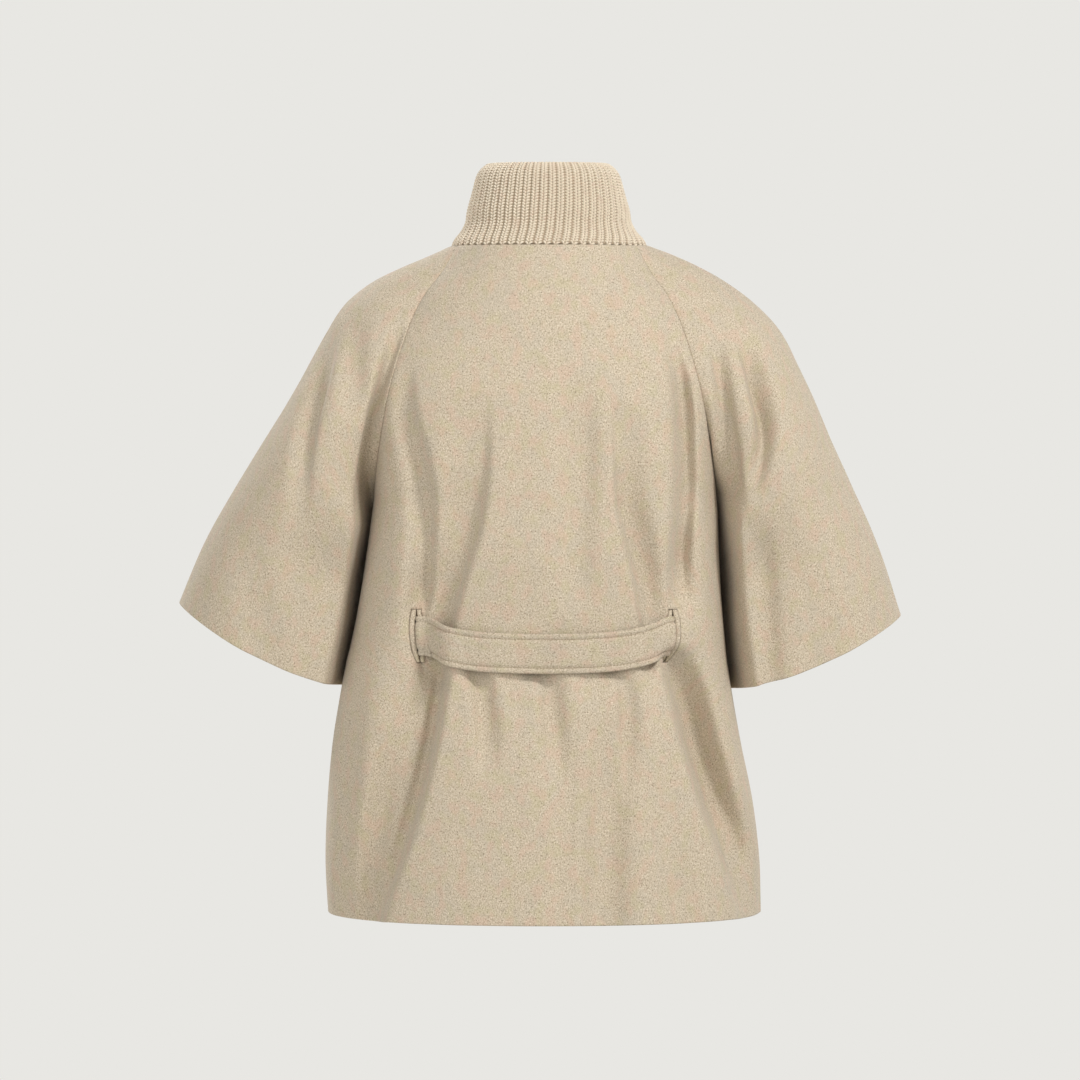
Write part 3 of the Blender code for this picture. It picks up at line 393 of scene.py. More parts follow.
SLEEVE_FOLDS = [
    # the wearer's left: beside the body, then down the sleeve, then near the hem
    ([(141, -84, 0), (147, -98, 6), (153, -118, 11), (158, -142, 15), (163, -165, 17), (168, -192, 17),
      (173, -220, 14), (178, -250, 8), (182, -285, 0)], 7, 9),
    ([(186, -62, 0), (190, -90, 5), (190, -120, 7), (188, -150, 6), (190, -185, 0)], 12, 14),
    ([(208, -80, 0), (217, -112, 7), (224, -141, 11), (231, -170, 12), (236, -200, 11), (239, -240, 7),
      (242, -290, 0)], 10, 10),
    ([(292, -270, 0), (290, -320, 3), (284, -370, 4), (278, -460, 4)], 18, 18),
    # the wearer's right: full beside the body, then two creases from the shoulder and soft ones below
    ([(-164, -150, 0), (-171, -180, -4), (-175, -205, -7), (-178, -228, -5), (-180, -250, 0)], 10, 9),
    ([(-167, -95, 0), (-170, -125, 9), (-173, -155, 13), (-176, -190, 15), (-180, -220, 14), (-184, -245, 9),
      (-188, -268, 4), (-192, -300, 0)], 7, 9),
    ([(-194, -92, 0), (-202, -117, 11), (-208, -136, 17), (-212, -156, 21), (-215, -176, 22), (-214, -198, 20),
      (-209, -219, 15), (-204, -239, 8), (-200, -258, 2), (-199, -268, 0)], 10, 10),
    ([(-206, -270, 0), (-212, -310, 6), (-216, -360, 7), (-222, -460, 7)], 12, 12),
    ([(-262, -300, 0), (-268, -350, 3), (-276, -460, 4)], 20, 20),
]
print("folds on the back, the fronts and the sleeves:", len(BACK_FOLDS), len(FRONT_FOLDS), len(SLEEVE_FOLDS))

# %% How deep the folds are
FOLD_EDGE = 2.7         # 2 gives a fold soft shoulders, and more gives it sharper ones


def fold_depth(folds, x, z):
    total = np.zeros(np.broadcast(x, z).shape)
    for line, reach_left, reach_right in folds:
        centre, depth = (through(line, LINE_COLUMNS, "z", column)(z) for column in ("x", "depth"))
        heights = [point[1] for point in line]
        inside = (z >= min(heights)) & (z <= max(heights))
        reach = np.where(x > centre, reach_left, reach_right)
        total += np.where(inside, depth, 0.0) * np.exp(-np.abs((x - centre) / reach) ** FOLD_EDGE)
    return total


print("deepest line of the back's table:", max(point[2] for line, *_ in BACK_FOLDS for point in line), "mm")

# %% Normals and edges of a grid
def unit(vectors):
    return vectors / np.maximum(np.linalg.norm(vectors, axis=-1, keepdims=True), 1e-12)


def grid_normals(grid, outward):
    normal = unit(np.cross(np.gradient(grid, axis=0), np.gradient(grid, axis=1)))
    middle = normal[normal.shape[0] // 2, normal.shape[1] // 2]
    return normal if np.dot(middle, outward) > 0 else -normal


def from_edge(grid, edge):
    """Distance of each point from one edge of its grid, along the grid's lines."""
    axis = 1 if edge in ("left", "right") else 0
    steps = np.linalg.norm(np.diff(grid, axis=axis), axis=2)
    ends = np.zeros_like(np.take(steps, [0], axis=axis))
    distance = np.concatenate([ends, np.cumsum(steps, axis=axis)], axis=axis)
    if edge in ("right", "hem"):
        distance = np.take(distance, [-1], axis=axis) - distance
    return distance

# %% Slow hills
UNEVEN = 0.55           # how far the cloth's surface wanders
UNEVEN_SIZE = 46.0
UNEVEN_SHIFT = (7.3, 3.1, 5.7)      # from one sheet's hills to the next sheet's
SMALL_HILLS, SMALL_SHARE = 2.6, 0.4     # how many times finer the small hills are, and their height


def uneven(grid, seed):
    """Slow hills and hollows that no flat sheet of thick cloth is free of."""
    flat = grid.reshape(-1, 3) / UNEVEN_SIZE
    shift = Vector([seed * step for step in UNEVEN_SHIFT])
    hills = np.array([noise.noise(Vector(p) + shift) + SMALL_SHARE * noise.noise(Vector(p) * SMALL_HILLS + shift)
                      for p in flat])
    return hills.reshape(grid.shape[:2]) * UNEVEN

# %% Press the creases in
SEAM_EASE = 14.0        # creases fade to nothing over this near a seam
SIDE_EASE = 24.0        # over more at the back's side seams, because its folds are deep
ARMHOLE_EASE = 6.0      # over less at an armhole, where a sleeve dives steeply beside the body
HOLLOW_HANG = 0.095     # at the hem a fold's hollow hangs lower by this share of its depth
HOLLOW_HANG_REACH = 120.0


def creased(grid, folds, outward, seams, seed, straight_in=False):
    """A grid with its folds pressed in, square to the cloth or straight towards the wearer.

    Seams names the sewn edges and how soon the folds fade there.
    """
    normals = grid_normals(grid, outward)
    fade = np.ones(grid.shape[:2])
    for edge, ease in seams.items():
        fade = np.minimum(fade, smooth(0.0, ease, from_edge(grid, edge)))
    depth = fold_depth(folds, grid[:, :, 0], grid[:, :, 2]) * fade
    way = np.array(outward, float) if straight_in else normals
    pressed = grid - way * depth[:, :, None] + normals * (uneven(grid, seed) * fade)[:, :, None]
    if straight_in:
        pressed[:, :, 2] -= HOLLOW_HANG * depth * smooth(-HEM_Z - HOLLOW_HANG_REACH, -HEM_Z, -grid[:, :, 2])
    return pressed


print("folds fade over", SEAM_EASE, "mm at a seam,", SIDE_EASE, "at the back's sides,", ARMHOLE_EASE, "at an armhole")

# %% [markdown]
# ## Seams and turned edges
# Where two pieces are sewn together the cloth rolls down into the seam, and the seam allowances
# inside lift it a little on both sides. At a hem the cloth is folded, so its edge is round. Bevel and
# Solidify could do parts of this, but a rule on the distance from each edge gives a seam and a hem
# their own profile on one sheet.

# %% Seam and hem profiles
SEAM_ROLL = 0.6         # how deep the cloth rolls in at a seam
SEAM_ROLL_REACH = 2.2
ALLOWANCE_LIFT = 0.25   # the ridge over the seam allowance
ALLOWANCE_AT = 6.0
ALLOWANCE_REACH = 3.5


def rounded(distance, reach, depth=None):
    """How deep a rounded edge lies at a distance from it: a quarter circle, or a flatter oval."""
    t = np.clip(1.0 - distance / reach, 0.0, 1.0)
    return (reach if depth is None else depth) * (1.0 - np.sqrt(1.0 - t * t))


def seam_profile(distance):
    ridge = ALLOWANCE_LIFT * np.exp(-((distance - ALLOWANCE_AT) / ALLOWANCE_REACH) ** 2)
    return ridge - rounded(distance, SEAM_ROLL_REACH, SEAM_ROLL)


print("height of the cloth at, near and past a seam:", seam_profile(np.array([0.0, 1.0, 6.0, 12.0])).round(2))

# %% Normals shared over a seam
AGREE = 0.2             # a shorter sum means that the neighbours face away from each other


def shared_normals(panels):
    """Each panel's normals, averaged with its neighbours' where they meet at a seam.

    Where the neighbours face away from each other, the sum means nothing and each keeps its own.
    """
    gathered = {}
    for grid, normals in panels.values():
        for point, normal in zip(grid.reshape(-1, 3), normals.reshape(-1, 3)):
            key = tuple(np.round(point, 1))
            gathered[key] = gathered.get(key, 0.0) + normal
    result = {}
    for name, (grid, normals) in panels.items():
        merged = np.array([gathered[tuple(np.round(point, 1))] for point in grid.reshape(-1, 3)])
        length = np.linalg.norm(merged, axis=1, keepdims=True)
        merged = np.where(length > AGREE, unit(merged), normals.reshape(-1, 3))
        result[name] = merged.reshape(grid.shape)
    return result

# %% [markdown]
# ## From a grid to a sheet of cloth
# The grid is the outer face. The inner face lies one thickness under it, and the rim joins the two,
# so the sheet is closed all round. Each sheet keeps a UV map in metres of its own cloth, so that the
# speckle and the nap can run down the piece as they do on the real one.

# %% Pieces
def in_scene(name, data):
    item = bpy.data.objects.new(name, data)
    bpy.context.scene.collection.objects.link(item)
    return item


def new_piece(name, vertices, faces, uv=None):
    mesh = bpy.data.meshes.new(name)
    mesh.from_pydata([tuple(v) for v in np.asarray(vertices) * MM], [], faces)
    if uv is not None:
        layer = mesh.uv_layers.new(name="cloth")
        loops = np.empty(len(mesh.loops), int)
        mesh.loops.foreach_get("vertex_index", loops)
        layer.data.foreach_set("uv", (np.asarray(uv) * MM)[loops].ravel())
    mesh.shade_smooth()
    return in_scene(name, mesh)


def outward_faces(item):
    """Turn every face of a closed piece to point out of it."""
    surface = bmesh.new()
    surface.from_mesh(item.data)
    bmesh.ops.recalc_face_normals(surface, faces=surface.faces)
    surface.to_mesh(item.data)
    surface.free()
    return item

# %% Walls of cloth
def wall_faces(rows, columns):
    """Outer and inner quads of a wall and the strips that close its four edges."""
    offset = rows * columns
    corner = (np.arange(rows - 1)[:, None] * columns + np.arange(columns - 1)[None, :]).ravel()
    outer = np.stack([corner, corner + 1, corner + columns + 1, corner + columns], axis=1)
    inner = outer[:, ::-1] + offset
    index = np.arange(offset).reshape(rows, columns)
    rim = np.concatenate([index[0, :], index[1:, -1], index[-1, -2::-1], index[-2:0:-1, 0]])
    after = np.roll(rim, -1)
    strip = np.stack([rim, rim + offset, after + offset, after], axis=1)
    return np.vstack([outer, inner, strip]).tolist()


def cloth(name, outer, inner, uv):
    rows, columns, _ = outer.shape
    vertices = np.vstack([outer.reshape(-1, 3), inner.reshape(-1, 3)])
    return outward_faces(new_piece(name, vertices, wall_faces(rows, columns), np.vstack([uv.reshape(-1, 2)] * 2)))


def cloth_uv(grid):
    """Distances over the cloth from the middle of its top edge."""
    across = from_edge(grid, "left")
    across = across - across[:, [across.shape[1] // 2]]
    down = from_edge(grid, "top")
    middle = np.broadcast_to(down[:, [down.shape[1] // 2]], down.shape)
    return np.stack([across, -middle], axis=2)


print("a wall of 3 by 4 points has", len(wall_faces(3, 4)), "faces")

# %% [markdown]
# ## The cut panels
# The back runs from side seam to side seam. Each front passes the centre, and the wearer's right one
# lies over the left. Each sleeve has a back and a front half, joined along the overarm and underarm
# seams. All of them are the same grids with their own seams, creases and turned edges.

# %% The panels' grids
LAP_COLUMNS = ("z", "drop")
LAP_DROP = table_curves([(HEM_Z, 3.3), (-200.0, 3.3), (-100.0, 4.2), (-55.0, 5.2), (0.0, 5.2)], LAP_COLUMNS)["drop"]
BACK_CELLS = 216
FRONT_CELLS = 96
SLEEVE_CELLS = 80
SEAMS = {"back": ("top", "left", "right"), "front_left": ("top", "right"), "front_right": ("top", "left")}
TURNED = {"back": ("hem",), "front_left": ("hem", "left"), "front_right": ("hem", "right")}
SEEDS = {"back": 1, "front_left": 2, "front_right": 3, "sleeve_back_left": 12, "sleeve_back_right": 13,
         "sleeve_front_left": 13, "sleeve_front_right": 14}


def lapped_under(from_centre):
    """1 where the under front lies behind the over front, 0 where it has come back out."""
    return 1.0 - smooth(LAP + LAP_HIDDEN, LAP + LAP_FADE, from_centre)


def front_grid(side):
    if side == "right":
        grid = body_lines("front", FRONT_CELLS, last_x=LAP)
        return creased(grid, FRONT_FOLDS, OUTWARD["front"], {"left": SEAM_EASE}, SEEDS["front_right"])
    grid = body_lines("front", FRONT_CELLS, first_x=-LAP)
    grid = creased(grid, FRONT_FOLDS, OUTWARD["front"], {"right": SEAM_EASE}, SEEDS["front_left"])
    grid[:, :, 1] += LAP_DROP(grid[:, :, 2]) * lapped_under(grid[:, :, 0])
    return grid


def sleeve_grid(side, face):
    grid = np.array([spread(sleeve_line(s, side, face), SLEEVE_CELLS) for s in SLEEVE_LEVELS])
    seams = {"left": ARMHOLE_EASE, "right": SEAM_EASE}
    return creased(grid, SLEEVE_FOLDS, OUTWARD[face], seams, SEEDS[f"sleeve_{face}_{side}"])


def panel_grids():
    seams = {"left": SIDE_EASE, "right": SIDE_EASE}
    back = creased(body_lines("back", BACK_CELLS), BACK_FOLDS, OUTWARD["back"], seams, SEEDS["back"], True)
    grids = {"back": back, "front_left": front_grid("left"), "front_right": front_grid("right")}
    for face in ("back", "front"):
        for side in ("left", "right"):
            grids[f"sleeve_{face}_{side}"] = sleeve_grid(side, face)
    return grids

# %% Sewn and turned edges
INSIDE = 3              # rows or columns into a grid, to see which way leads into it
ROLL_FOLLOWED = 0.4     # share of a seam's roll that the cloth's inner face follows


def draw_back(grid, normals, seams):
    """Move the sewn edges of a grid into it by half the seam gap, square to the shared normals."""
    moved = grid.copy()
    every = slice(None)
    places = {"top": ((0, every), (INSIDE, every)), "left": ((every, 0), (every, INSIDE)),
              "right": ((every, -1), (every, -1 - INSIDE))}
    for edge in seams:
        here, inside = places[edge]
        step = grid[inside] - grid[here]
        for square_to in (normals[here], unit(np.gradient(grid[here], axis=0))):
            step = step - square_to * np.sum(step * square_to, axis=-1, keepdims=True)
        moved[here] += unit(step) * SEAM_GAP / 2
    return moved


def panel(name, grid, normals):
    seams, turned = SEAMS.get(name, ("top", "left", "right")), TURNED.get(name, ("hem",))
    raised = sum(seam_profile(from_edge(grid, edge)) for edge in seams)
    inset = np.max([rounded(from_edge(grid, edge), WALL / 2) for edge in turned], axis=0)
    shape = draw_back(grid, normals, seams)
    outer = shape + normals * (raised - inset)[:, :, None]
    inner = shape - normals * (WALL - ROLL_FOLLOWED * np.minimum(raised, 0.0) - inset)[:, :, None]
    return cloth("cloth_" + name, outer, inner, cloth_uv(grid))

# %% Make the panels
grids = panel_grids()
faced = {name: (grid, grid_normals(grid, OUTWARD["front" if "front" in name else "back"]))
         for name, grid in grids.items()}
normals = shared_normals(faced)
panels = {name: panel(name, grid, normals[name]) for name, grid in grids.items()}
print({name: len(item.data.polygons) for name, item in panels.items()})

# %% [markdown]
# ## One way to write every node tree
# Materials and Geometry Nodes are both trees of nodes. Clicking them together hides the reasoning, so
# here they are written as expressions: a small class wraps a socket, and adding or multiplying two
# of them adds the Math node. One method makes every other node from its type, its settings and the
# values or links of its inputs.

# %% Sockets as values
class Value:
    """A socket of a tree that can be used in an expression."""

    def __init__(self, tree, socket):
        self.tree, self.socket = tree, socket

    def __add__(self, other): return self.tree.maths("ADD", self, other)
    def __radd__(self, other): return self.tree.maths("ADD", other, self)
    def __sub__(self, other): return self.tree.maths("SUBTRACT", self, other)
    def __rsub__(self, other): return self.tree.maths("SUBTRACT", other, self)
    def __mul__(self, other): return self.tree.maths("MULTIPLY", self, other)
    def __rmul__(self, other): return self.tree.maths("MULTIPLY", other, self)

    def between(self, low, high):
        """0 below low, 1 above high, smooth between."""
        return self.tree.node("ShaderNodeMapRange", {"interpolation_type": "SMOOTHSTEP"},
                              {"Value": self, "From Min": low, "From Max": high})

# %% Nodes of a tree
class Tree:
    """Adds nodes to a node tree and links them."""

    def __init__(self, tree):
        self.tree = tree
        self.tree.nodes.clear()

    def node(self, kind, settings=None, inputs=None, output=0):
        """A new node: its settings first, then a number, a value or a list of values for each input."""
        made = self.tree.nodes.new(kind)
        for name, setting in (settings or {}).items():
            setattr(made, name, setting)
        for name, given in (inputs or {}).items():
            socket = made.inputs[name]
            values = given if isinstance(given, list) else [given]
            if isinstance(values[0], Value):
                for value in values:
                    self.tree.links.new(value.socket, socket)
            else:
                socket.default_value = given
        return Value(self, made.outputs[output]) if made.outputs else None

    def maths(self, operation, *values):
        return self.node("ShaderNodeMath", {"operation": operation}, dict(enumerate(values)))

    def vector(self, operation, *values):
        return self.node("ShaderNodeVectorMath", {"operation": operation}, dict(enumerate(values)))

    def mix(self, factor, first, second):
        """A blend of two colours."""
        return self.node("ShaderNodeMix", {"data_type": "RGBA"}, {0: factor, 6: first, 7: second}, output=2)

# %% [markdown]
# ## Growing repeats with Geometry Nodes
# Knit stitches and machine stitches are the same small shape many hundred times. Each kind is grown
# by a tree that has named inputs, is realized into plain faces, and is then frozen into an ordinary
# mesh, so that the jacket can be exported. Array could repeat a shape too, but only evenly.

# %% Inputs, shapes and output of a tree
def new_growth(name, sizes):
    """An empty Geometry Nodes tree with named inputs; returns the tree and its inputs as values."""
    group = bpy.data.node_groups.new(name, "GeometryNodeTree")
    for title, in_out, kind in (("Geometry", "INPUT", "Geometry"), ("Geometry", "OUTPUT", "Geometry"),
                                ("Material", "INPUT", "Material")):
        group.interface.new_socket(title, in_out=in_out, socket_type="NodeSocket" + kind)
    for title, size in sizes.items():
        group.interface.new_socket(title, in_out="INPUT", socket_type="NodeSocketFloat").default_value = size
    tree = Tree(group)
    entry = tree.node("NodeGroupInput").socket.node
    return tree, {socket.name: Value(tree, socket) for socket in entry.outputs if socket.name}


def bar_along(tree, line, radius, thickness, sides=6):
    """A closed bar round a line, whose thickness is an expression on the way along it."""
    shaped = tree.node("GeometryNodeSetCurveRadius", inputs={"Curve": line, "Radius": thickness})
    ring = tree.node("GeometryNodeCurvePrimitiveCircle", inputs={"Resolution": sides, "Radius": radius})
    return tree.node("GeometryNodeCurveToMesh", inputs={"Curve": shaped, "Profile Curve": ring, "Fill Caps": True})


def swelling(tree, by, least):
    """Thin at both ends of a line and thick in its middle."""
    return tree.maths("SINE", tree.node("GeometryNodeSplineParameter") * math.pi) * by + least


def end_growth(tree, points, instance, rotation, material):
    """Set an instance on every point, realize and smooth them, give them their material, end the tree."""
    placed = tree.node("GeometryNodeInstanceOnPoints", inputs={
        "Points": points, "Instance": instance, "Rotation": rotation})
    whole = tree.node("GeometryNodeRealizeInstances", inputs={"Geometry": placed})
    soft = tree.node("GeometryNodeSetShadeSmooth", inputs={"Geometry": whole})
    finished = tree.node("GeometryNodeSetMaterial", inputs={"Geometry": soft, "Material": material})
    tree.node("NodeGroupOutput", inputs={0: finished})
    return tree.tree

# %% From a tree to a plain mesh
def evaluated_mesh(item):
    """What an object's modifiers make of it, as a plain mesh."""
    return bpy.data.meshes.new_from_object(item.evaluated_get(bpy.context.evaluated_depsgraph_get()))


def discard(item):
    """Delete an object together with its mesh or curve."""
    data = item.data
    bpy.data.objects.remove(item)
    (bpy.data.meshes if isinstance(data, bpy.types.Mesh) else bpy.data.curves).remove(data)


def as_mesh(item, material=None):
    """Put a plain mesh in the place of an object that a modifier or a bevel gives its shape."""
    name, mesh = item.name, evaluated_mesh(item)
    discard(item)
    mesh.name = name
    if material is not None:
        mesh.materials.clear()
        mesh.materials.append(material)
    return in_scene(name, mesh)


def grown(seed_item, group, material):
    """Run a tree on an object and keep the result as a plain mesh."""
    modifier = seed_item.modifiers.new("grow", "NODES")
    modifier.node_group = group
    identifiers = {item.name: item.identifier for item in group.interface.items_tree if item.in_out == "INPUT"}
    modifier[identifiers["Material"]] = material
    return as_mesh(seed_item)


def points_with(name, points, attributes):
    """Loose points, each with vector attributes, for a tree to grow things on."""
    mesh = bpy.data.meshes.new(name)
    mesh.from_pydata([tuple(p) for p in np.asarray(points) * MM], [], [])
    for attribute, values in attributes.items():
        layer = mesh.attributes.new(attribute, "FLOAT_VECTOR", "POINT")
        layer.data.foreach_set("vector", np.asarray(values, np.float32).ravel())
    return in_scene(name, mesh)

# %% [markdown]
# ## Heathered wool
# The cloth is a melton: wool is dyed in several shades, spun together, woven, then felted until the
# weave is gone and a short nap lies over it, brushed down the piece. So the colour is a fine speckle
# of cream, tan and grey fibres with faint warmer and cooler clouds, the surface is matt with a soft
# sheen, and its bump is short streaks that run down the cloth. An image of the cloth would repeat
# and blur. Noise in the sheet's own UV map doesn't, and it follows every crease.

# %% Wool colours, linear
WOOL_TAN = (0.370, 0.296, 0.208, 1.0)
WOOL_CREAM = (0.650, 0.560, 0.432, 1.0)
WOOL_PALE = (0.860, 0.760, 0.610, 1.0)
WOOL_DARK = (0.160, 0.122, 0.080, 1.0)
WOOL_GREY = (0.445, 0.410, 0.345, 1.0)
WOOL_OLIVE = (0.470, 0.420, 0.250, 1.0)
WOOL_WARM = (0.560, 0.395, 0.300, 1.0)


def shaded(colour, shade):
    return tuple(part * shade for part in colour[:3]) + (1.0,)


print("tan a tenth darker:", [round(part, 3) for part in shaded(WOOL_TAN, 0.9)])

# %% Shaders and noise
WOOL_ROUGHNESS = 0.95
SHEEN = 0.15


def new_material(name, roughness, sheen=0.0):
    """A material's empty tree, and a function that ends it with its shader."""
    material = bpy.data.materials.new(name)
    material.use_nodes = True
    tree = Tree(material.node_tree)

    def finish(colour, height=None, distance=0.0003):
        inputs = {"Base Color": colour, "Roughness": roughness, "Sheen Weight": sheen, "Sheen Roughness": 0.5,
                  "Specular IOR Level": 0.25 if sheen else 0.5}
        if height is not None:
            inputs["Normal"] = tree.node("ShaderNodeBump", inputs={
                "Height": height, "Distance": distance, "Strength": 1.0})
        shader = tree.node("ShaderNodeBsdfPrincipled", inputs=inputs)
        tree.node("ShaderNodeOutputMaterial", inputs={"Surface": shader})
        return material
    return tree, finish


def millimetres(tree, place):
    return tree.node("ShaderNodeVectorMath", {"operation": "SCALE"}, {0: place, "Scale": 1.0 / MM})


def speckle(tree, place, size, stretch=1.0, detail=2.0, roughness=0.5):
    """Noise with features of a size in millimetres, stretched down the piece."""
    stretched = tree.vector("MULTIPLY", place, (1.0 / size, 1.0 / (size * stretch), 1.0 / size))
    return tree.node("ShaderNodeTexNoise", inputs={"Vector": stretched, "Scale": 1.0, "Detail": detail,
                                                   "Roughness": roughness})

# %% The heather, layer by layer
# Its colour, where its noise is taken, the spots' size, stretch and detail, the noise at which a spot
# begins and is full, and how much of the colour shows.
WOOL_LAYERS = {
    "grey clouds": (WOOL_GREY, (71.0, 3.0, 29.0), 17.0, 1.4, 1.0, 0.42, 0.72, 0.22),
    "olive clouds": (WOOL_OLIVE, (5.0, 37.0, 83.0), 14.0, 1.3, 1.0, 0.48, 0.70, 0.38),
    "rosy clouds": (WOOL_WARM, (13.0, 91.0, 47.0), 12.0, 1.5, 1.0, 0.48, 0.70, 0.46),
    "clumps": (WOOL_DARK, (7.0, 53.0, 11.0), 3.4, 1.6, 2.0, 0.52, 0.80, 0.22),
    "light fibres": (WOOL_PALE, (57.0, 23.0, 41.0), 1.2, 1.5, 1.0, 0.60, 0.74, 0.52),
    "dark flecks": (WOOL_DARK, (31.0, 17.0, 5.0), 1.25, 1.3, 1.0, 0.59, 0.73, 0.80),
}


def make_wool(name, shade=1.0):
    """Cream fibres over tan, the layers on top of them, and a bump of fibres, clumps and nap."""
    tree, finish = new_material(name, WOOL_ROUGHNESS, SHEEN)
    place = millimetres(tree, tree.node("ShaderNodeUVMap", {"uv_map": "cloth"}))
    fibres = speckle(tree, place, 1.3, stretch=1.3, detail=3.0, roughness=0.7)
    nap = speckle(tree, place, 0.8, stretch=3.0, detail=3.0, roughness=0.7)
    colour = tree.mix(fibres.between(0.30, 0.68), shaded(WOOL_TAN, shade), shaded(WOOL_CREAM, shade))
    spots = {}
    for layer, (laid_on, shift, size, stretch, detail, low, high, share) in WOOL_LAYERS.items():
        spots[layer] = speckle(tree, tree.vector("ADD", place, shift), size, stretch, detail)
        colour = tree.mix(spots[layer].between(low, high) * share, colour, shaded(laid_on, shade))
    return finish(colour, height=nap * 0.5 + fibres * 0.5 + spots["clumps"] * 0.6, distance=0.0006)


wool = make_wool("wool_cloth")
belt_wool_painted_shade = make_wool("belt_wool_painted_shade", shade=0.95)      # a copy of the wool 5% darker: painted shade, for the nap that runs across and reads a little deeper
for item in panels.values():
    item.data.materials.append(wool)
print("wool:", len(wool.node_tree.nodes), "nodes")

# %% [markdown]
# ## Knit yarn and sewing thread
# The collar is knitted from a paler, softly twisted yarn of the same wool. Its stitches are real
# shapes, so their material only adds the fibres; the wall under them takes a darker copy of the yarn,
# painted shade for the hollows. The sewing thread is darker than the cloth, with painted shade for the
# dent that it pulls.

# %% Yarn and thread
YARN_PALE = (0.800, 0.710, 0.580, 1.0)
YARN_TAN = (0.650, 0.560, 0.435, 1.0)
# painted shade: the same yarn made darker for the shade that falls in the hollows between and inside the ribs
YARN_HOLLOW_SHADE = (0.470, 0.385, 0.280, 1.0)
YARN_DEEP_SHADE = (0.300, 0.240, 0.165, 1.0)
# painted shade: the thread's colours are darker than the cloth's for the dent that the thread pulls
THREAD = (0.380, 0.305, 0.215, 1.0)
THREAD_DEEP_SHADE = (0.250, 0.190, 0.125, 1.0)
OBJECT_COORDINATES = 3      # the output of Texture Coordinate that moves with the piece


def make_yarn(name, pale, deep):
    """Fine fibres and slow warm clouds."""
    tree, finish = new_material(name, WOOL_ROUGHNESS, SHEEN)
    place = millimetres(tree, tree.node("ShaderNodeTexCoord", output=OBJECT_COORDINATES))
    fibres = speckle(tree, place, 0.9, detail=3.0, roughness=0.65)
    clouds = speckle(tree, tree.vector("ADD", place, (19.0, 5.0, 83.0)), 7.0)
    colour = tree.mix(fibres.between(0.32, 0.70), deep, pale)
    colour = tree.mix(clouds.between(0.45, 0.75) * 0.30, colour, WOOL_WARM)
    return finish(colour, height=fibres, distance=0.0002)


yarn = make_yarn("rib_knit", YARN_PALE, YARN_TAN)
# the collar wall's material, darker than the stitches' yarn: painted shade for the hollows
yarn_shaded_hollows = make_yarn("rib_knit_hollows_painted_shade", YARN_HOLLOW_SHADE, YARN_DEEP_SHADE)
thread = make_yarn("sewing_thread", THREAD, THREAD_DEEP_SHADE)
print("materials:", [material.name for material in (wool, belt_wool_painted_shade, yarn, yarn_shaded_hollows, thread)])

# %% [markdown]
# ## The rib-knit collar
# A rib is knitted by changing between a column of plain stitches, which stands out, and one of purl
# stitches, which sinks between two of them. The collar leans a little and widens to its seam. First
# comes a closed, softly ribbed wall that the stitches lie on: the top ring and the neck seam are
# joined by a flare table, so the ribs fan out as they do on the real collar.

# %% Collar sizes
RIBS = 56
LAP_RIBS = 4
RIB_COUNT = RIBS + LAP_RIBS
RIB_RAISE = 1.3
RIB_ROUND = 0.6         # 1 gives even waves, and less gives broad ribs with narrow hollows
RIB_SKEW = -8.0         # the ribs lean to the wearer's left on their way down
RIB_SQUEEZE = 0.16      # and lie closer together at the back of the neck seam than at the front
COLLAR_WALL = 3.2
COLLAR_HEIGHT = 80.0
COLLAR_MIDDLE = np.array([-3.0, 1.0, 0.0])
COLLAR_TOP = {"half_width": 68.8, "back": 62.0, "front": 64.0, "back_z": 76.0, "side_z": 78.0, "front_z": 30.0}
COLLAR_FLARE = table_curves([(0.0, 1.0), (0.08, 0.84), (0.17, 0.64), (0.27, 0.53), (0.45, 0.40), (0.70, 0.22),
                             (0.92, 0.08), (1.0, -0.01)], ("height", "flare"))["flare"]
# The soft fold over the seam, and the edge that turns in at the top.
COLLAR_FOLD = table_curves([(0.0, -1.2), (0.03, -0.3), (0.16, 0.2), (0.28, -1.2), (0.42, -0.4), (0.60, -0.8),
                            (0.75, -1.3), (0.84, -2.0), (0.90, -3.2), (0.95, -5.2), (1.0, -9.0)],
                           ("height", "out"))["out"]
print("each rib is about", round(2 * math.pi * COLLAR_TOP["half_width"] / RIBS, 1), "mm wide at the top")

# %% The neck seam and the top edge
def neck_ring():
    """The neck seam as one line: from the centre front over the left side, the back and the right."""
    front, back = body_line(0.0, "front", True), body_line(0.0, "back", True)
    middle = len(front) // 2
    stretches = [front[middle:], sleeve_line(0.0, "left", "front")[1:], sleeve_line(0.0, "left", "back")[::-1][1:],
                 back[::-1][1:], sleeve_line(0.0, "right", "back")[1:],
                 sleeve_line(0.0, "right", "front")[::-1][1:], front[1:middle + 1]]
    return np.vstack(stretches)


def top_ring():
    angle = np.linspace(0.0, 2 * math.pi, 4 * DENSE)
    forward = np.cos(angle)
    reach = np.where(forward > 0, COLLAR_TOP["front"], COLLAR_TOP["back"])
    drop = np.where(forward > 0, COLLAR_TOP["front_z"], COLLAR_TOP["back_z"]) - COLLAR_TOP["side_z"]
    return np.stack([COLLAR_MIDDLE[0] + COLLAR_TOP["half_width"] * np.sin(angle), COLLAR_MIDDLE[1] - reach * forward,
                     COLLAR_TOP["side_z"] + drop * forward ** 2], axis=1)


def around(ring, share):
    reach = travelled(ring)
    distance = np.mod(share, 1.0) * reach[-1]
    return np.stack([np.interp(distance, reach, ring[:, axis]) for axis in range(3)], axis=-1)


NECK, TOP = neck_ring(), top_ring()
NECK_LENGTH = travelled(NECK)[-1]
COLLAR_LAP = LAP / NECK_LENGTH


print("neck seam:", round(NECK_LENGTH), "mm, top edge:", round(travelled(TOP)[-1]), "mm")

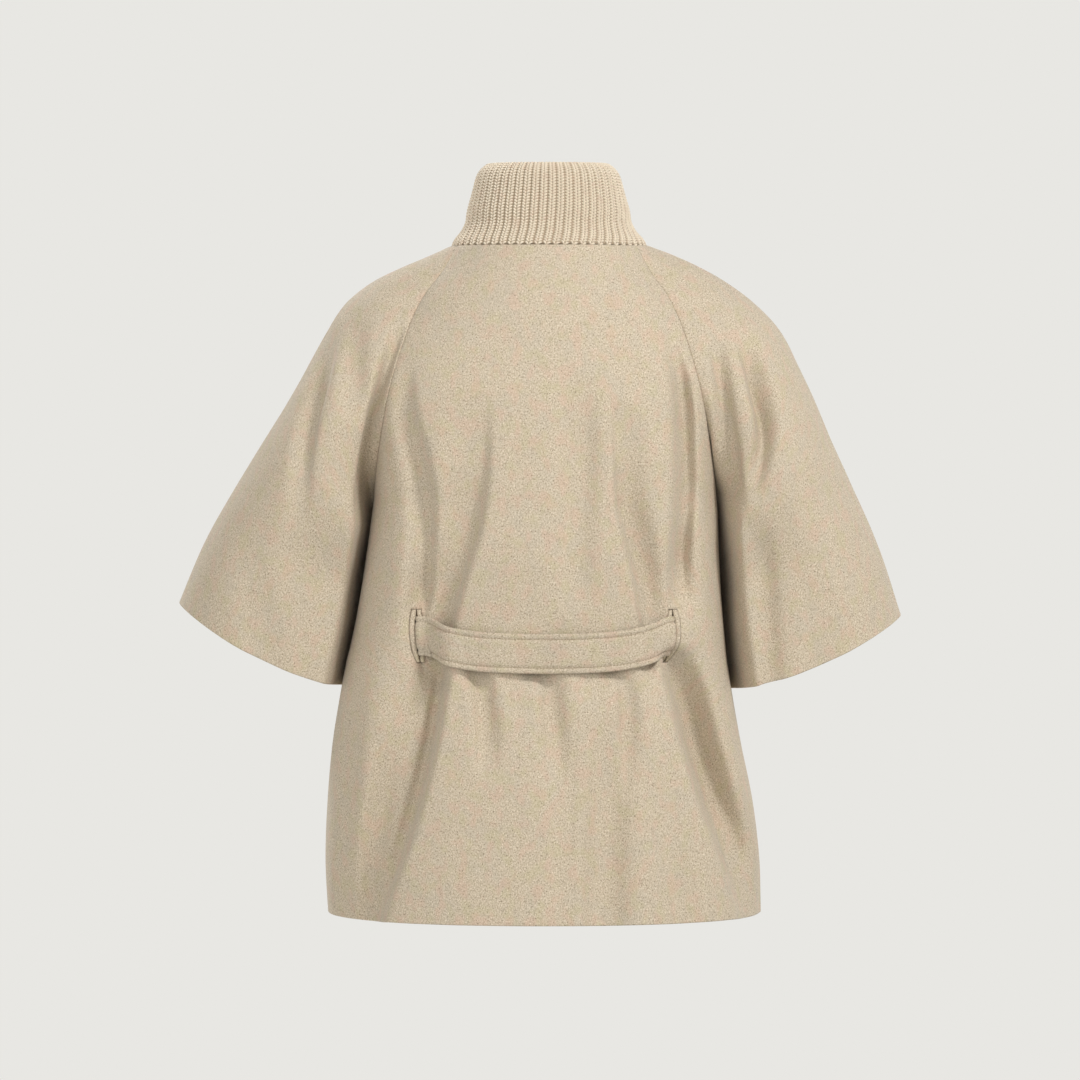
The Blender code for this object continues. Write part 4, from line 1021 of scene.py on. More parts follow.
# %% The collar's surface
def collar_point(share, height, raised):
    """Points of the collar: share of the way round, share of the height, distance moved out."""
    share, height = np.broadcast_arrays(np.asarray(share, float), np.asarray(height, float))
    lean = RIB_SKEW / NECK_LENGTH * np.sin(math.pi * np.clip(share, 0, 1))
    lean = (lean + RIB_SQUEEZE * np.sin(2 * math.pi * share) / (2 * math.pi)) * (1.0 - height)
    low, high = around(NECK, share + lean), around(TOP, share)
    point = high + (low - high) * COLLAR_FLARE(height)[..., None]
    point[..., 2] = low[..., 2] + (high[..., 2] - low[..., 2]) * height
    out = unit((point - COLLAR_MIDDLE) * (1, 1, 0))
    point = point + out * (np.asarray(raised) + COLLAR_FOLD(height))[..., None]
    point[..., 1] += LAP_DROP(0.0) * lapped_under(share * NECK_LENGTH)
    return point


def rib_wave(share):
    """1 on the crown of a rib, 0 in the hollow between two."""
    turns = (share + COLLAR_LAP) / (1.0 + 2 * COLLAR_LAP) * RIB_COUNT
    return (0.5 - 0.5 * np.cos(2 * math.pi * turns)) ** RIB_ROUND


print("middle of the back at half height:", collar_point(0.5, 0.5, 0.0).round(1))

# %% The ribbed wall
COLLAR_ROWS = 46
RIB_STEPS = 10
RIM_DEPTH = 1.6
RIM_SHARE = 0.03        # of the height, where the edge is rounded
KNIT_SUNK = 0.6         # the wall and its stitches lie this far inside the collar's form
heights = np.concatenate([np.linspace(0.004, 1.0 - RIM_SHARE, COLLAR_ROWS), [0.985, 0.995, 1.0]])
shares = np.linspace(-COLLAR_LAP, 1.0 + COLLAR_LAP, RIB_COUNT * RIB_STEPS + 1)
share_grid, height_grid = np.meshgrid(shares, heights)
rim = rounded(1.0 - height_grid, RIM_SHARE, RIM_DEPTH)
outer_face = collar_point(share_grid, height_grid, rib_wave(share_grid) * RIB_RAISE - rim - KNIT_SUNK)
inner_face = collar_point(share_grid, height_grid, rim - COLLAR_WALL - 0.5 * rib_wave(share_grid))
uv = np.stack([share_grid * NECK_LENGTH, height_grid * COLLAR_HEIGHT], axis=2)
collar = cloth("collar_wall", outer_face, inner_face, uv)
# painted shade: the wall shows only between the stitches, so it takes the darker hollow yarn
collar.data.materials.append(yarn_shaded_hollows)
print("collar wall:", len(collar.data.polygons), "faces")

# %% [markdown]
# ## Knit stitches
# A plain stitch shows as a V: two legs of yarn that lean towards each other, with a small dark gap
# between them where the next stitch comes out. Each rib is one column of them. The tree below bends
# one leg from a curve, thickens it with a circle that swells in the middle, adds the other leg, and
# sets the V on every point, turned by the directions that each point carries. Modelling each stitch
# by hand would take thousands of shapes. A bump map would be flat at the collar's outline.

# %% The knit stitch
STITCH_WIDTH = 6.5
STITCH_HEIGHT = 3.05
YARN_RADIUS = 1.05
# Across, up and out, as shares of the width and height and in millimetres: foot, bend and shoulder.
STITCH_LEG = {"Start": (0.07, -0.44, -1.65), "Middle": (0.28, -0.03, 2.30), "End": (0.455, 0.39, -1.60)}


def leg(tree, size, side):
    """One leg of the V: from the foot near the middle out to the shoulder."""
    ends = {end: tree.node("ShaderNodeCombineXYZ", inputs={
        0: size["Stitch width"] * (across * side), 1: out, 2: size["Stitch height"] * up})
        for end, (across, up, out) in STITCH_LEG.items()}
    bend = tree.node("GeometryNodeCurveQuadraticBezier", inputs={"Resolution": 5, **ends})
    return bar_along(tree, bend, size["Yarn radius"], swelling(tree, 0.50, 0.52))


def stitch_tree():
    sizes = {"Stitch width": STITCH_WIDTH, "Stitch height": STITCH_HEIGHT, "Yarn radius": YARN_RADIUS}
    tree, size = new_growth("knit stitch", sizes)
    both = tree.node("GeometryNodeJoinGeometry", inputs={"Geometry": [leg(tree, size, 1.0), leg(tree, size, -1.0)]})
    stitch = tree.node("GeometryNodeTransform", inputs={"Geometry": both, "Scale": (MM, MM, MM)})
    out, up = (tree.node("GeometryNodeInputNamedAttribute", {"data_type": "FLOAT_VECTOR"}, {"Name": name})
               for name in ("out", "up"))
    turn = tree.node("FunctionNodeAxesToRotation", {"primary_axis": "Z", "secondary_axis": "Y"},
                     {"Primary Axis": up, "Secondary Axis": out})
    return end_growth(tree, size["Geometry"], stitch, turn, size["Material"])


knit = stitch_tree()
print("knit stitch:", len(knit.nodes), "nodes")

# %% Knit the collar
def stitch_points(first, last):
    """Where the stitches of a stretch of the collar sit, with their up and out directions."""
    cell = (1.0 + 2 * COLLAR_LAP) / RIB_COUNT
    columns = [-COLLAR_LAP + (rib + 0.5) * cell for rib in range(RIB_COUNT)]
    points, ups, outs = [], [], []
    for share in [share for share in columns if first <= share < last]:
        fine = np.linspace(0.0, 1.0, 60)
        reach = travelled(collar_point(share, fine, 0.0))
        rows = int(round(reach[-1] / STITCH_HEIGHT))
        height = np.interp((np.arange(rows) + 0.5) * reach[-1] / rows, reach, fine)
        raised = rib_wave(share) * RIB_RAISE - KNIT_SUNK

        def near(round_step=0.0, up_step=0.0):
            return collar_point(share + round_step, np.clip(height + up_step, 0.0, 1.0), raised)
        here, up = near(), unit(near(0.0, 0.01) - near(0.0, -0.01))
        out = unit(np.cross(near(0.001) - near(-0.001), up))
        out *= np.sign(np.sum(out * (here - COLLAR_MIDDLE) * (1, 1, 0), axis=1, keepdims=True))
        points.append(here)
        ups.append(up)
        outs.append(out)
    return np.vstack(points), {"up": np.vstack(ups), "out": np.vstack(outs)}


stitch_pieces = []
for part, first, last in (("left", -1.0, 0.5), ("right", 0.5, 2.0)):
    points, directions = stitch_points(first, last)
    piece = grown(points_with("collar_stitches_" + part, points, directions), knit, yarn)
    stitch_pieces.append(piece)
    print(piece.name, len(points), "stitches,", len(piece.data.polygons), "faces")

# %% [markdown]
# ## The slits
# Each end of the belt passes through a slit that is bound by two narrow folded strips, called welts.
# The pull of the belt bows each slit a little towards the centre at its foot. The slit is cut through
# the finished sheet with a Boolean. The sheet is a grid, so cutting it by hand would tear its rows.

# %% The slits' sizes
SLOT_X = 126.5
SLOT_Z = -390.5
SLOT_HEIGHT = 52.0
SLOT_TOP, SLOT_FOOT = SLOT_Z + SLOT_HEIGHT / 2, SLOT_Z - SLOT_HEIGHT / 2
WELT_RAISE = 1.9
WELT_INNER = 4.2
CREASE = 0.35               # the dark line where a welt is sewn to the back
# Down the slit: the gap's outer edge, the outer welt's width, and the gap, which the belt opens.
SLOT_COLUMNS = ("z", "edge", "welt", "gap")
SLOT_SHAPE = table_curves([(-416.5, 121.8, 3.0, 0.8), (-411.0, 123.0, 4.5, 1.2), (-406.0, 124.2, 5.3, 4.2),
                           (-396.0, 125.7, 5.7, 4.4), (-384.0, 126.6, 5.8, 4.4), (-375.0, 126.4, 5.6, 4.2),
                           (-369.0, 125.8, 5.2, 1.2), (-364.5, 125.4, 4.6, 0.8)], SLOT_COLUMNS)
print("a slit is open", SLOT_SHAPE["gap"](SLOT_Z).round(1), "mm at the belt")

# %% Points on the back
ROWS_ABOVE = 10             # of the skirt that lie higher than the belt reaches
LOWER_BACK = grids["back"][len(CHEST_LEVELS) + ROWS_ABOVE:]
BESIDE = 4.0                # how far to both sides the way along the cloth is measured


def back_point(x, z):
    """The point of the back's outer face at x, z."""
    y_rows = [np.interp(x, row[:, 0], row[:, 1]) for row in LOWER_BACK]
    return np.array([x, np.interp(-z, -LOWER_BACK[:, 0, 2], y_rows), z])


def on_back(x, z, offset=0.0):
    """A point of the back moved out by offset, and the ways along and out of the cloth."""
    along = unit(back_point(x + BESIDE, z) - back_point(x - BESIDE, z))
    out = np.array([-along[1], along[0], 0.0])
    return back_point(x, z) + out * offset, along, out


SLOT_FRAMES = {side: on_back(SIDE_SIGN[side] * SLOT_X, SLOT_Z) for side in SIDE_SIGN}


def slot_point(side, z, out_from_edge=0.0):
    """The cloth at height z, out_from_edge millimetres outside the outer edge of the slit's gap."""
    middle, along, _ = SLOT_FRAMES[side]
    here = back_point(SIDE_SIGN[side] * SLOT_X, z)
    wanted = SIDE_SIGN[side] * (SLOT_SHAPE["edge"](z) + out_from_edge - SLOT_X)
    return here + along * (wanted - np.dot(here - middle, along))


print("the cloth's depth at the slits:", [round(float(point[1]), 1) for point, *_ in SLOT_FRAMES.values()], "mm")

# %% Cutters for the slits
CUT_DEPTH = 20.0
CUT_LEVELS = 21


def tube_faces(rings, sides):
    """Quads from ring to ring of a closed tube, and its two ends."""
    quads = [(ring + k, ring + (k + 1) % sides, ring + sides + (k + 1) % sides, ring + sides + k)
             for ring in range(0, (rings - 1) * sides, sides) for k in range(sides)]
    count = rings * sides
    return quads + [tuple(range(sides)), tuple(range(count - 1, count - sides - 1, -1))]


def slot_cutter(side):
    """A bowed box through the cloth, as wide as the gap and both welts."""
    vertices = []
    depth = SLOT_FRAMES[side][2] * CUT_DEPTH
    for z in np.linspace(SLOT_TOP, SLOT_FOOT, CUT_LEVELS):
        far = slot_point(side, z, SLOT_SHAPE["welt"](z) + CREASE)
        near = slot_point(side, z, -SLOT_SHAPE["gap"](z) - WELT_INNER - CREASE)
        vertices += [near - depth, far - depth, far + depth, near + depth]
    return outward_faces(new_piece("slot_cutter_" + side, vertices, tube_faces(CUT_LEVELS, 4)))

# %% Cut the slits
def cut_out(piece, cutter):
    """Cut one closed shape out of another for good, and throw the cutter away."""
    cut = piece.modifiers.new("cut", "BOOLEAN")
    cut.object = cutter
    cut.operation = "DIFFERENCE"
    name, old, mesh = piece.data.name, piece.data, evaluated_mesh(piece)
    piece.modifiers.clear()
    piece.data = mesh
    bpy.data.meshes.remove(old)
    mesh.name = name
    discard(cutter)


for side in SIDE_SIGN:
    cut_out(panels["back"], slot_cutter(side))
print("back with its slits:", len(panels["back"].data.polygons), "faces")

# %% [markdown]
# ## Welts
# A welt is a strip folded lengthwise and sewn into the slit with its fold towards the gap. It looks
# like a small roll, and its ends taper under the cloth. The roll is a short profile swept down the
# slit, thinner at both ends.

# %% Sweep the welts
WELT_ROUND = 14
WELT_LEVELS = 34
WELT_DEPTH = 3.0
WELT_SUNK = 0.5
WELT_END, WELT_SWELL = 0.45, 2.4    # share of its height at an end, and how fast it grows from there


def welt(side, place):
    _, along, out = SLOT_FRAMES[side]
    vertices, uv = [], []
    for share in np.linspace(0.0, 1.0, WELT_LEVELS):
        z = (SLOT_TOP - CREASE) - (SLOT_HEIGHT - 2 * CREASE) * share
        ends = min(1.0, WELT_END + WELT_SWELL * math.sqrt(min(share, 1.0 - share)))
        width, middle = SLOT_SHAPE["welt"](z), slot_point(side, z, SLOT_SHAPE["welt"](z) / 2)
        if place == "inner":
            width, middle = WELT_INNER, slot_point(side, z, -SLOT_SHAPE["gap"](z) - WELT_INNER / 2)
        for angle in np.linspace(0.0, 2 * math.pi, WELT_ROUND, endpoint=False):
            up = math.sin(angle) * (WELT_RAISE * ends if math.sin(angle) > 0 else WELT_DEPTH)
            vertices.append(middle + along * math.cos(angle) * width / 2 + out * (up - WELT_SUNK))
            uv.append((angle * width / 2, -SLOT_HEIGHT * share))
    faces = tube_faces(WELT_LEVELS, WELT_ROUND)
    piece = outward_faces(new_piece(f"welt_{place}_{side}_cloth", vertices, faces, uv))
    piece.data.materials.append(wool)
    return piece


welts = {f"welt_{place}_{side}": welt(side, place) for side in SIDE_SIGN for place in ("outer", "inner")}
print(sorted(welts))

# %% [markdown]
# ## The belt
# The belt is two layers of the cloth, sewn round and topstitched along both edges. It leaves the
# inside of the back through one slit, bridges the hollows of the back in an even, slightly sagging
# curve, and goes in again through the other. Its route is worked out from the back's own points, so
# it stands just clear of the highest crease that it passes.

# %% Belt sizes
BELT_COLUMNS = ("x", "z")
BELT_Z = table_curves([(0.0, -407.0), (30.0, -406.6), (55.0, -405.5), (75.0, -403.6), (98.0, -399.0),
                       (115.0, -393.5), (126.5, -390.5), (135.0, -390.0), (170.0, -390.0)], BELT_COLUMNS)["z"]
BELT_WIDTH = 38.6
BELT_THICK = 3.4
BELT_BEND = 3.0
BELT_INSIDE_END = 163.0
BELT_CLEAR = 0.9
BELT_BRIDGE = 1.2
BELT_IN_GAP = BELT_THICK / 2 + 0.3              # the belt's middle, inside the gap's outer edge
BRIDGE_SPOTS = np.linspace(-106.0, 91.0, 14)    # on the left the belt slants a long way to its slit
BRIDGE_NEAR = [(dx, dz) for dx in (-9, 0, 9) for dz in np.linspace(-BELT_WIDTH / 2, BELT_WIDTH / 2, 5)]
BEND_POINTS = 5
BESIDE_BEND = 5.0                               # inside the back the even part starts this far from the bend
print("the belt sags", round(float(BELT_Z(SLOT_X) - BELT_Z(0.0)), 1), "mm between its slits")

# %% The belt's route
def belt_standoff():
    """Height of the belt's underside over the back, clear of every crease it bridges."""
    crest = [max(back_point(x + dx, BELT_Z(abs(x)) + dz)[1] for dx, dz in BRIDGE_NEAR) + BELT_BRIDGE
             for x in BRIDGE_SPOTS]
    smoothed = np.convolve(np.pad(crest, 1, mode="edge"), (0.25, 0.5, 0.25), "valid")
    return np.maximum(smoothed, crest)


STANDOFF = belt_standoff()


def belt_row(level):
    """The belt's middle line at one height above its own middle."""
    inside = -(WALL + BELT_CLEAR + BELT_THICK / 2)
    outside = WELT_RAISE + BELT_CLEAR + BELT_THICK / 2
    halves = {}
    for side, sign in SIDE_SIGN.items():
        points = [on_back(sign * x, BELT_Z(x) + level, inside)[0]
                  for x in np.linspace(BELT_INSIDE_END, SLOT_X + BELT_BEND + BESIDE_BEND, BEND_POINTS)]
        middle = slot_point(side, BELT_Z(SLOT_X) + level, -BELT_IN_GAP)
        _, along, out = SLOT_FRAMES[side]
        for bend, height, turns in ((BELT_BEND, inside, (90.0, 0.0)), (-BELT_BEND, outside, (0.0, 90.0))):
            for angle in np.radians(np.linspace(*turns, BEND_POINTS)):
                points.append(middle + along * sign * bend * (1 - math.cos(angle)) +
                              out * (height + bend * (1 - math.sin(angle))))
        halves[side] = points
    across = [np.array([x, y + BELT_THICK / 2, BELT_Z(abs(x)) + level]) for x, y in zip(BRIDGE_SPOTS, STANDOFF)]
    return np.array(halves["right"] + across + halves["left"][::-1])


def rounded_line(points, count):
    """A smooth line through points, divided evenly."""
    reach = travelled(points)
    fine = np.linspace(0.0, reach[-1], count)
    columns = [through(np.stack([reach, points[:, axis]], axis=1), ("s", "v"), "s", "v")(fine) for axis in range(3)]
    return np.stack(columns, axis=1)


print("the belt's way, from end to end:", round(travelled(belt_row(0.0))[-1]), "mm")

# %% The belt's relief
BELT_STEPS = 240
STITCH_INSET = 5.6          # of the topstitching from the belt's edges
STITCH_DENT = 0.9
DENT_REACH = 1.15
BELT_PUFF = 0.45            # the two layers swell between the stitched lines
EDGE_PUFF = 0.25            # and a little outside them
EDGE_PUFF_REACH = 1.8
BACK_FOLLOWS = 0.6          # share of the dent on the belt's hidden side
BELT_WANDER = 0.4
BELT_HILLS, BELT_SEED = 1.7, 9           # finer hills than the back's, and its own
ROUND_LEFT = 0.05           # half the thickness that a rounded edge keeps
BELT_FOLDS = [              # where it is pinched a little at the foot of the wearer's left slit
    ([(124, -384, 0), (120, -394, 2.2), (113, -404, 2.6), (104, -414, 1.5)], 5, 5),
]
PINCH_ENDS = (118.0, 124.5)     # it fades out here, before the slit
OUT_OF_SLITS = STANDOFF.min() - 12.0        # the belt is inside the back where it lies deeper
EDGE_LEVELS = [0.0, 0.25, 0.7, 1.3, 2.1, 3.2, 4.3, 4.9, 5.6, 6.3, 7.0, 8.6]
half_levels = BELT_WIDTH / 2 - np.array(EDGE_LEVELS)
print("levels over the belt's half width:", half_levels[::-1].round(1))

# %% The belt's sheet
levels = np.concatenate([half_levels, np.linspace(half_levels[-1], -half_levels[-1], 12)[1:-1], -half_levels[::-1]])
middle = np.array([rounded_line(belt_row(level), BELT_STEPS) for level in levels])
pinch = fold_depth(BELT_FOLDS, middle[:, :, 0], middle[:, :, 2]) * (middle[:, :, 1] > OUT_OF_SLITS)
middle[:, :, 1] -= pinch * (1.0 - smooth(*PINCH_ENDS, np.abs(middle[:, :, 0])))
belt_normals = grid_normals(middle, OUTWARD["back"])
edge_distance = (BELT_WIDTH / 2 - np.abs(levels))[:, None] * np.ones(BELT_STEPS)
dent = STITCH_DENT * np.exp(-((edge_distance - STITCH_INSET) / DENT_REACH) ** 2)
puff = BELT_PUFF * smooth(STITCH_INSET, STITCH_INSET + 5.0, edge_distance) \
    + EDGE_PUFF * np.exp(-((edge_distance - STITCH_INSET / 2) / EDGE_PUFF_REACH) ** 2)
wander = uneven(middle * BELT_HILLS, BELT_SEED) * BELT_WANDER
half_thick = BELT_THICK / 2 - rounded(edge_distance, BELT_THICK / 2 - ROUND_LEFT)
belt = cloth("belt_cloth", middle + belt_normals * (half_thick - dent + puff + wander)[:, :, None],
             middle - belt_normals * (half_thick - dent * BACK_FOLLOWS)[:, :, None], cloth_uv(middle)[:, :, ::-1])
belt.data.materials.append(belt_wool_painted_shade)
print("belt:", len(belt.data.polygons), "faces")

# %% [markdown]
# ## Machine stitches
# Topstitching is a row of short, slightly sunken thread bars with a gap between each two. One tree
# does it for any line: it cuts the line into equal stretches and lays a tapered bar on each. Lines
# are plain curves, so the same tree serves both of the belt's rows, and would serve a hem's.

# %% The machine stitch
STITCH_LENGTH = 3.2
THREAD_RADIUS = 0.34
BAR_HALF = 0.36             # half a bar's share of the stitch length, so that gaps show between them


def seam_stitch_tree():
    tree, size = new_growth("machine stitch", {"Stitch length": STITCH_LENGTH, "Thread radius": THREAD_RADIUS})
    step = size["Stitch length"] * MM
    line = tree.node("GeometryNodeResampleCurve", {"mode": "LENGTH"}, {"Curve": size["Geometry"], "Length": step})
    bar = tree.node("GeometryNodeCurvePrimitiveLine", inputs={
        end: tree.node("ShaderNodeCombineXYZ", inputs={2: step * share})
        for end, share in (("Start", -BAR_HALF), ("End", BAR_HALF))})
    fine = tree.node("GeometryNodeResampleCurve", {"mode": "COUNT"}, {"Curve": bar, "Count": 5})
    solid = bar_along(tree, fine, size["Thread radius"] * MM, swelling(tree, 0.75, 0.3))
    turn = tree.node("FunctionNodeAlignRotationToVector", {"axis": "Z"},
                     {"Vector": tree.node("GeometryNodeInputTangent")})
    return end_growth(tree, line, solid, turn, size["Material"])


def thread_line(name, lines):
    """A curve object through one or more lines of points."""
    curve = bpy.data.curves.new(name, "CURVE")
    curve.dimensions = "3D"
    for points in lines:
        spline = curve.splines.new("POLY")
        spline.points.add(len(points) - 1)
        spline.points.foreach_set("co", np.hstack([np.asarray(points) * MM, np.ones((len(points), 1))]).ravel())
    return in_scene(name, curve)


machine_stitch = seam_stitch_tree()
print("machine stitch:", len(machine_stitch.nodes), "nodes")

# %% Topstitch the belt
BESIDE_SLITS = 4.0          # the stitching is hidden from here on
BAR_LIFT = 0.1              # over the bottom of the dent
shown = np.abs(middle[0][:, 0]) < SLOT_X - BESIDE_SLITS
lines = []
for height in (BELT_WIDTH / 2 - STITCH_INSET, STITCH_INSET - BELT_WIDTH / 2):
    row = int(np.argmin(np.abs(levels - height)))
    surface = middle[row] + belt_normals[row] * (BELT_THICK / 2 - STITCH_DENT + BAR_LIFT)
    lines.append(surface[shown & (middle[row][:, 1] > OUT_OF_SLITS)])
belt_stitches = grown(thread_line("belt_topstitching", lines), machine_stitch, thread)
print("belt stitches:", len(belt_stitches.data.polygons), "faces")

# %% [markdown]
# ## Buttons and buttonholes
# The front closes with plain turned buttons. The real ones can only be guessed, because the photograph
# shows the back, so they are the usual dark horn kind: a dished face, four holes and crossed thread.
# The face is a profile spun round, which gives a true turned shape, and the holes are cut with a
# Boolean. Under each lies a worked buttonhole, whose bars of thread lie side by side along its edge.

# %% Button sizes and horn
BUTTON_RADIUS = 14.0
BUTTON_THICK = 4.0
BUTTON_Z = [-100.0, -195.0, -290.0, -385.0]
BUTTON_CLEAR = 1.0
BUTTON_PROFILE = [(0.0, 0.62), (0.30, 0.62), (0.52, 0.68), (0.64, 0.82), (0.72, 0.97), (0.80, 1.0), (0.88, 0.97),
                  (0.95, 0.86), (0.99, 0.68), (1.0, 0.50), (0.98, 0.30), (0.90, 0.10), (0.78, 0.0), (0.0, 0.0)]
HOLE_AT = 2.7
HOLE_RADIUS = 1.1
HORN_STREAKS = (160.0, 900.0, 420.0)    # per metre across, through and up the button
HORN_DARK, HORN_LIGHT = (0.020, 0.012, 0.008, 1.0), (0.180, 0.100, 0.050, 1.0)


def make_horn(name):
    """Dark horn: brown and black streaks that run across the button, under a soft polish."""
    tree, finish = new_material(name, 0.28)
    place = tree.vector("MULTIPLY", tree.node("ShaderNodeTexCoord", output=OBJECT_COORDINATES), HORN_STREAKS)
    streaks = tree.node("ShaderNodeTexNoise", inputs={"Vector": place, "Scale": 1.0, "Detail": 4.0, "Roughness": 0.6})
    colour = tree.mix(streaks.between(0.35, 0.72), HORN_DARK, HORN_LIGHT)
    return finish(colour, height=streaks, distance=0.00004)


horn = make_horn("horn_button")
print("horn:", len(horn.node_tree.nodes), "nodes")

# %% A turned shape
def spun(profile, steps):
    """Vertices and faces of a closed profile of (radius, height) turned about Z."""
    vertices, faces, rings = [], [], []
    for radius, height in profile:
        if radius == 0.0:
            rings.append([len(vertices)] * steps)
            vertices.append((0.0, 0.0, height))
        else:
            rings.append(list(range(len(vertices), len(vertices) + steps)))
            turn = 2 * math.pi * np.arange(steps) / steps
            vertices += [(radius * math.cos(t), radius * math.sin(t), height) for t in turn]
    for low, high in zip(rings, rings[1:]):
        for k in range(steps):
            corner = [low[k], low[(k + 1) % steps], high[(k + 1) % steps], high[k]]
            faces.append(tuple(dict.fromkeys(corner)))
    return vertices, faces


print("a cylinder of 8 sides has", len(spun([(0, 0), (1, 0), (1, 1), (0, 1)], 8)[1]), "faces")

# %% Points on the front
FRONT = grids["front_right"]
BELOW = 8.0             # how far down the front its slope is measured


def on_front(x, z):
    """The point of the over front's outer face at x, z."""
    y_rows, z_rows = (np.array([np.interp(x, row[:, 0], row[:, axis]) for row in FRONT]) for axis in (1, 2))
    return np.array([x, np.interp(-z, -z_rows, y_rows), z])


def centre_front(z):
    """The point on the centre line at height z, the cloth's outward normal, and the way up it."""
    here, lower = on_front(0.0, z), on_front(0.0, z - BELOW)
    normal = unit(np.array([0.0, -1.0, -(lower[1] - here[1]) / BELOW]))
    up = np.cross(normal, (1.0, 0.0, 0.0))
    return here, normal, up * np.sign(up[2])


print("the first button sits", round(-float(on_front(0.0, BUTTON_Z[0])[1]), 1), "mm in front of the neck's middle")

# %% Turn the buttons
BUTTON_STEPS, HOLE_STEPS = 48, 16
HOLE_FROM, HOLE_TO = -2, 8          # a hole's cutter passes both faces


def button(number, z, material):
    vertices, faces = spun([(r * BUTTON_RADIUS, h * BUTTON_THICK) for r, h in BUTTON_PROFILE], BUTTON_STEPS)
    piece = outward_faces(new_piece(f"turned_button_{number}", vertices, faces))
    for across, up in ((1, 1), (1, -1), (-1, 1), (-1, -1)):
        cutter = [(0, HOLE_FROM), (HOLE_RADIUS, HOLE_FROM), (HOLE_RADIUS, HOLE_TO), (0, HOLE_TO)]
        hole, hole_faces = spun(cutter, HOLE_STEPS)
        hole = np.array(hole) + (HOLE_AT * across, HOLE_AT * up, 0)
        cut_out(piece, outward_faces(new_piece("button_hole", hole, hole_faces)))
    place, normal, _ = centre_front(z)
    lean = Matrix.Rotation(math.pi / 2 - math.asin(normal[2]), 4, "X")
    piece.data.transform(Matrix.Translation(Vector((place + normal * BUTTON_CLEAR) * MM)) @ lean)
    piece.data.materials.append(material)
    return piece


buttons = {f"button_{n}": button(n, z, horn) for n, z in enumerate(BUTTON_Z, 1)}
print("buttons:", len(buttons), "of", len(buttons["button_1"].data.polygons), "faces")

# %% Sewing threads
STRANDS = (-0.35, 0.0, 0.35)
STRAND_ARCH, STRAND_SUNK = 1.1, 0.5


def sewing_lines():
    """Crossed threads over each button's holes."""
    lines = []
    share = np.linspace(0.0, 1.0, 9)[:, None]
    for place, normal, up in map(centre_front, BUTTON_Z):
        crown = place + normal * (BUTTON_CLEAR + BUTTON_THICK * BUTTON_PROFILE[0][1])
        for rising in (1, -1):
            for strand in STRANDS:
                ends = [crown + np.array([HOLE_AT * way + strand, 0.0, 0.0]) + up * HOLE_AT * way * rising
                        for way in (1, -1)]
                arch = STRAND_ARCH * np.sin(math.pi * share) - STRAND_SUNK
                lines.append(ends[0] * (1 - share) + ends[1] * share + normal * arch)
    return lines


print("crossed threads:", len(sewing_lines()))

# %% Buttonhole bars
HOLE_NEAR, HOLE_FAR, HOLE_HALF = -9.0, 22.0, 1.7    # where a buttonhole's bars begin and end, and their length
BAR_STEP = 0.62


def buttonhole_bars():
    """Short bars of thread side by side round each slit: how far up the cloth, and how far out of it."""
    lines = []
    for z in BUTTON_Z:
        _, normal, up = centre_front(z)
        for x in np.arange(HOLE_NEAR, HOLE_FAR, BAR_STEP):
            for way in (-1.0, 1.0):
                lines.append([on_front(x, z) + up * way * high + normal * out
                              for high, out in ((0.25, -0.3), (HOLE_HALF * 0.5, 0.35), (HOLE_HALF, -0.2))])
    return lines


print("bars:", len(buttonhole_bars()))

# %% Sew the buttons on and work the buttonholes
SEWING_RADIUS, BAR_RADIUS = 0.28, 0.3


def solid_thread(name, lines, radius, material):
    """A round thread along each line."""
    item = thread_line(name, lines)
    item.data.bevel_depth = radius * MM
    item.data.bevel_resolution = 1
    item.data.use_fill_caps = True
    return as_mesh(item, material)


sewn = solid_thread("button_threads", sewing_lines(), SEWING_RADIUS, thread)
worked = solid_thread("buttonhole_bars", buttonhole_bars(), BAR_RADIUS, thread)
print("threads:", len(sewn.data.polygons), "faces, bars:", len(worked.data.polygons), "faces")

# %% [markdown]
# ## Which piece stands for which
# Every piece rides on the jacket's one body and takes the place of its plain solid. The floor, the
# light and the camera belong to the studio, not to the jacket.

# %% Ride and replace
for name, item in panels.items():
    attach(item, BODY)
    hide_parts(name)
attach(collar, BODY)
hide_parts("collar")
for name, item in {**welts, **buttons, "belt": belt}.items():
    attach(item, BODY)
    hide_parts(name)
for piece in stitch_pieces + [belt_stitches, sewn, worked]:
    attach(piece, BODY)
print("on the body:", len(panels) + len(welts) + len(buttons) + 2, "pieces and", len(stitch_pieces) + 3, "of thread")

# %% [markdown]
# ## The area of each piece
# Each sheet of cloth is closed, so half the area of its faces is the area of the cloth. The belt and
# the welts are doubled, so theirs is the finished size.

# %% Areas
for piece in [collar] + stitch_pieces:
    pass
for piece in list(panels.values()) + list(welts.values()) + [belt]:
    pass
for piece in list(panels.values()) + [collar, belt] + list(welts.values()):
    print(piece.name, "area", round(sum(face.area for face in piece.data.polygons) / 2, 5))

# %% [markdown]
# ## The camera
# A long lens from four metres away shows the jacket almost without perspective, so its lines can be
# compared with flat ones. The camera stands straight behind the back, level with the middle of the
# jacket. A wide lens from nearby would make the belt look too large against the sleeves.

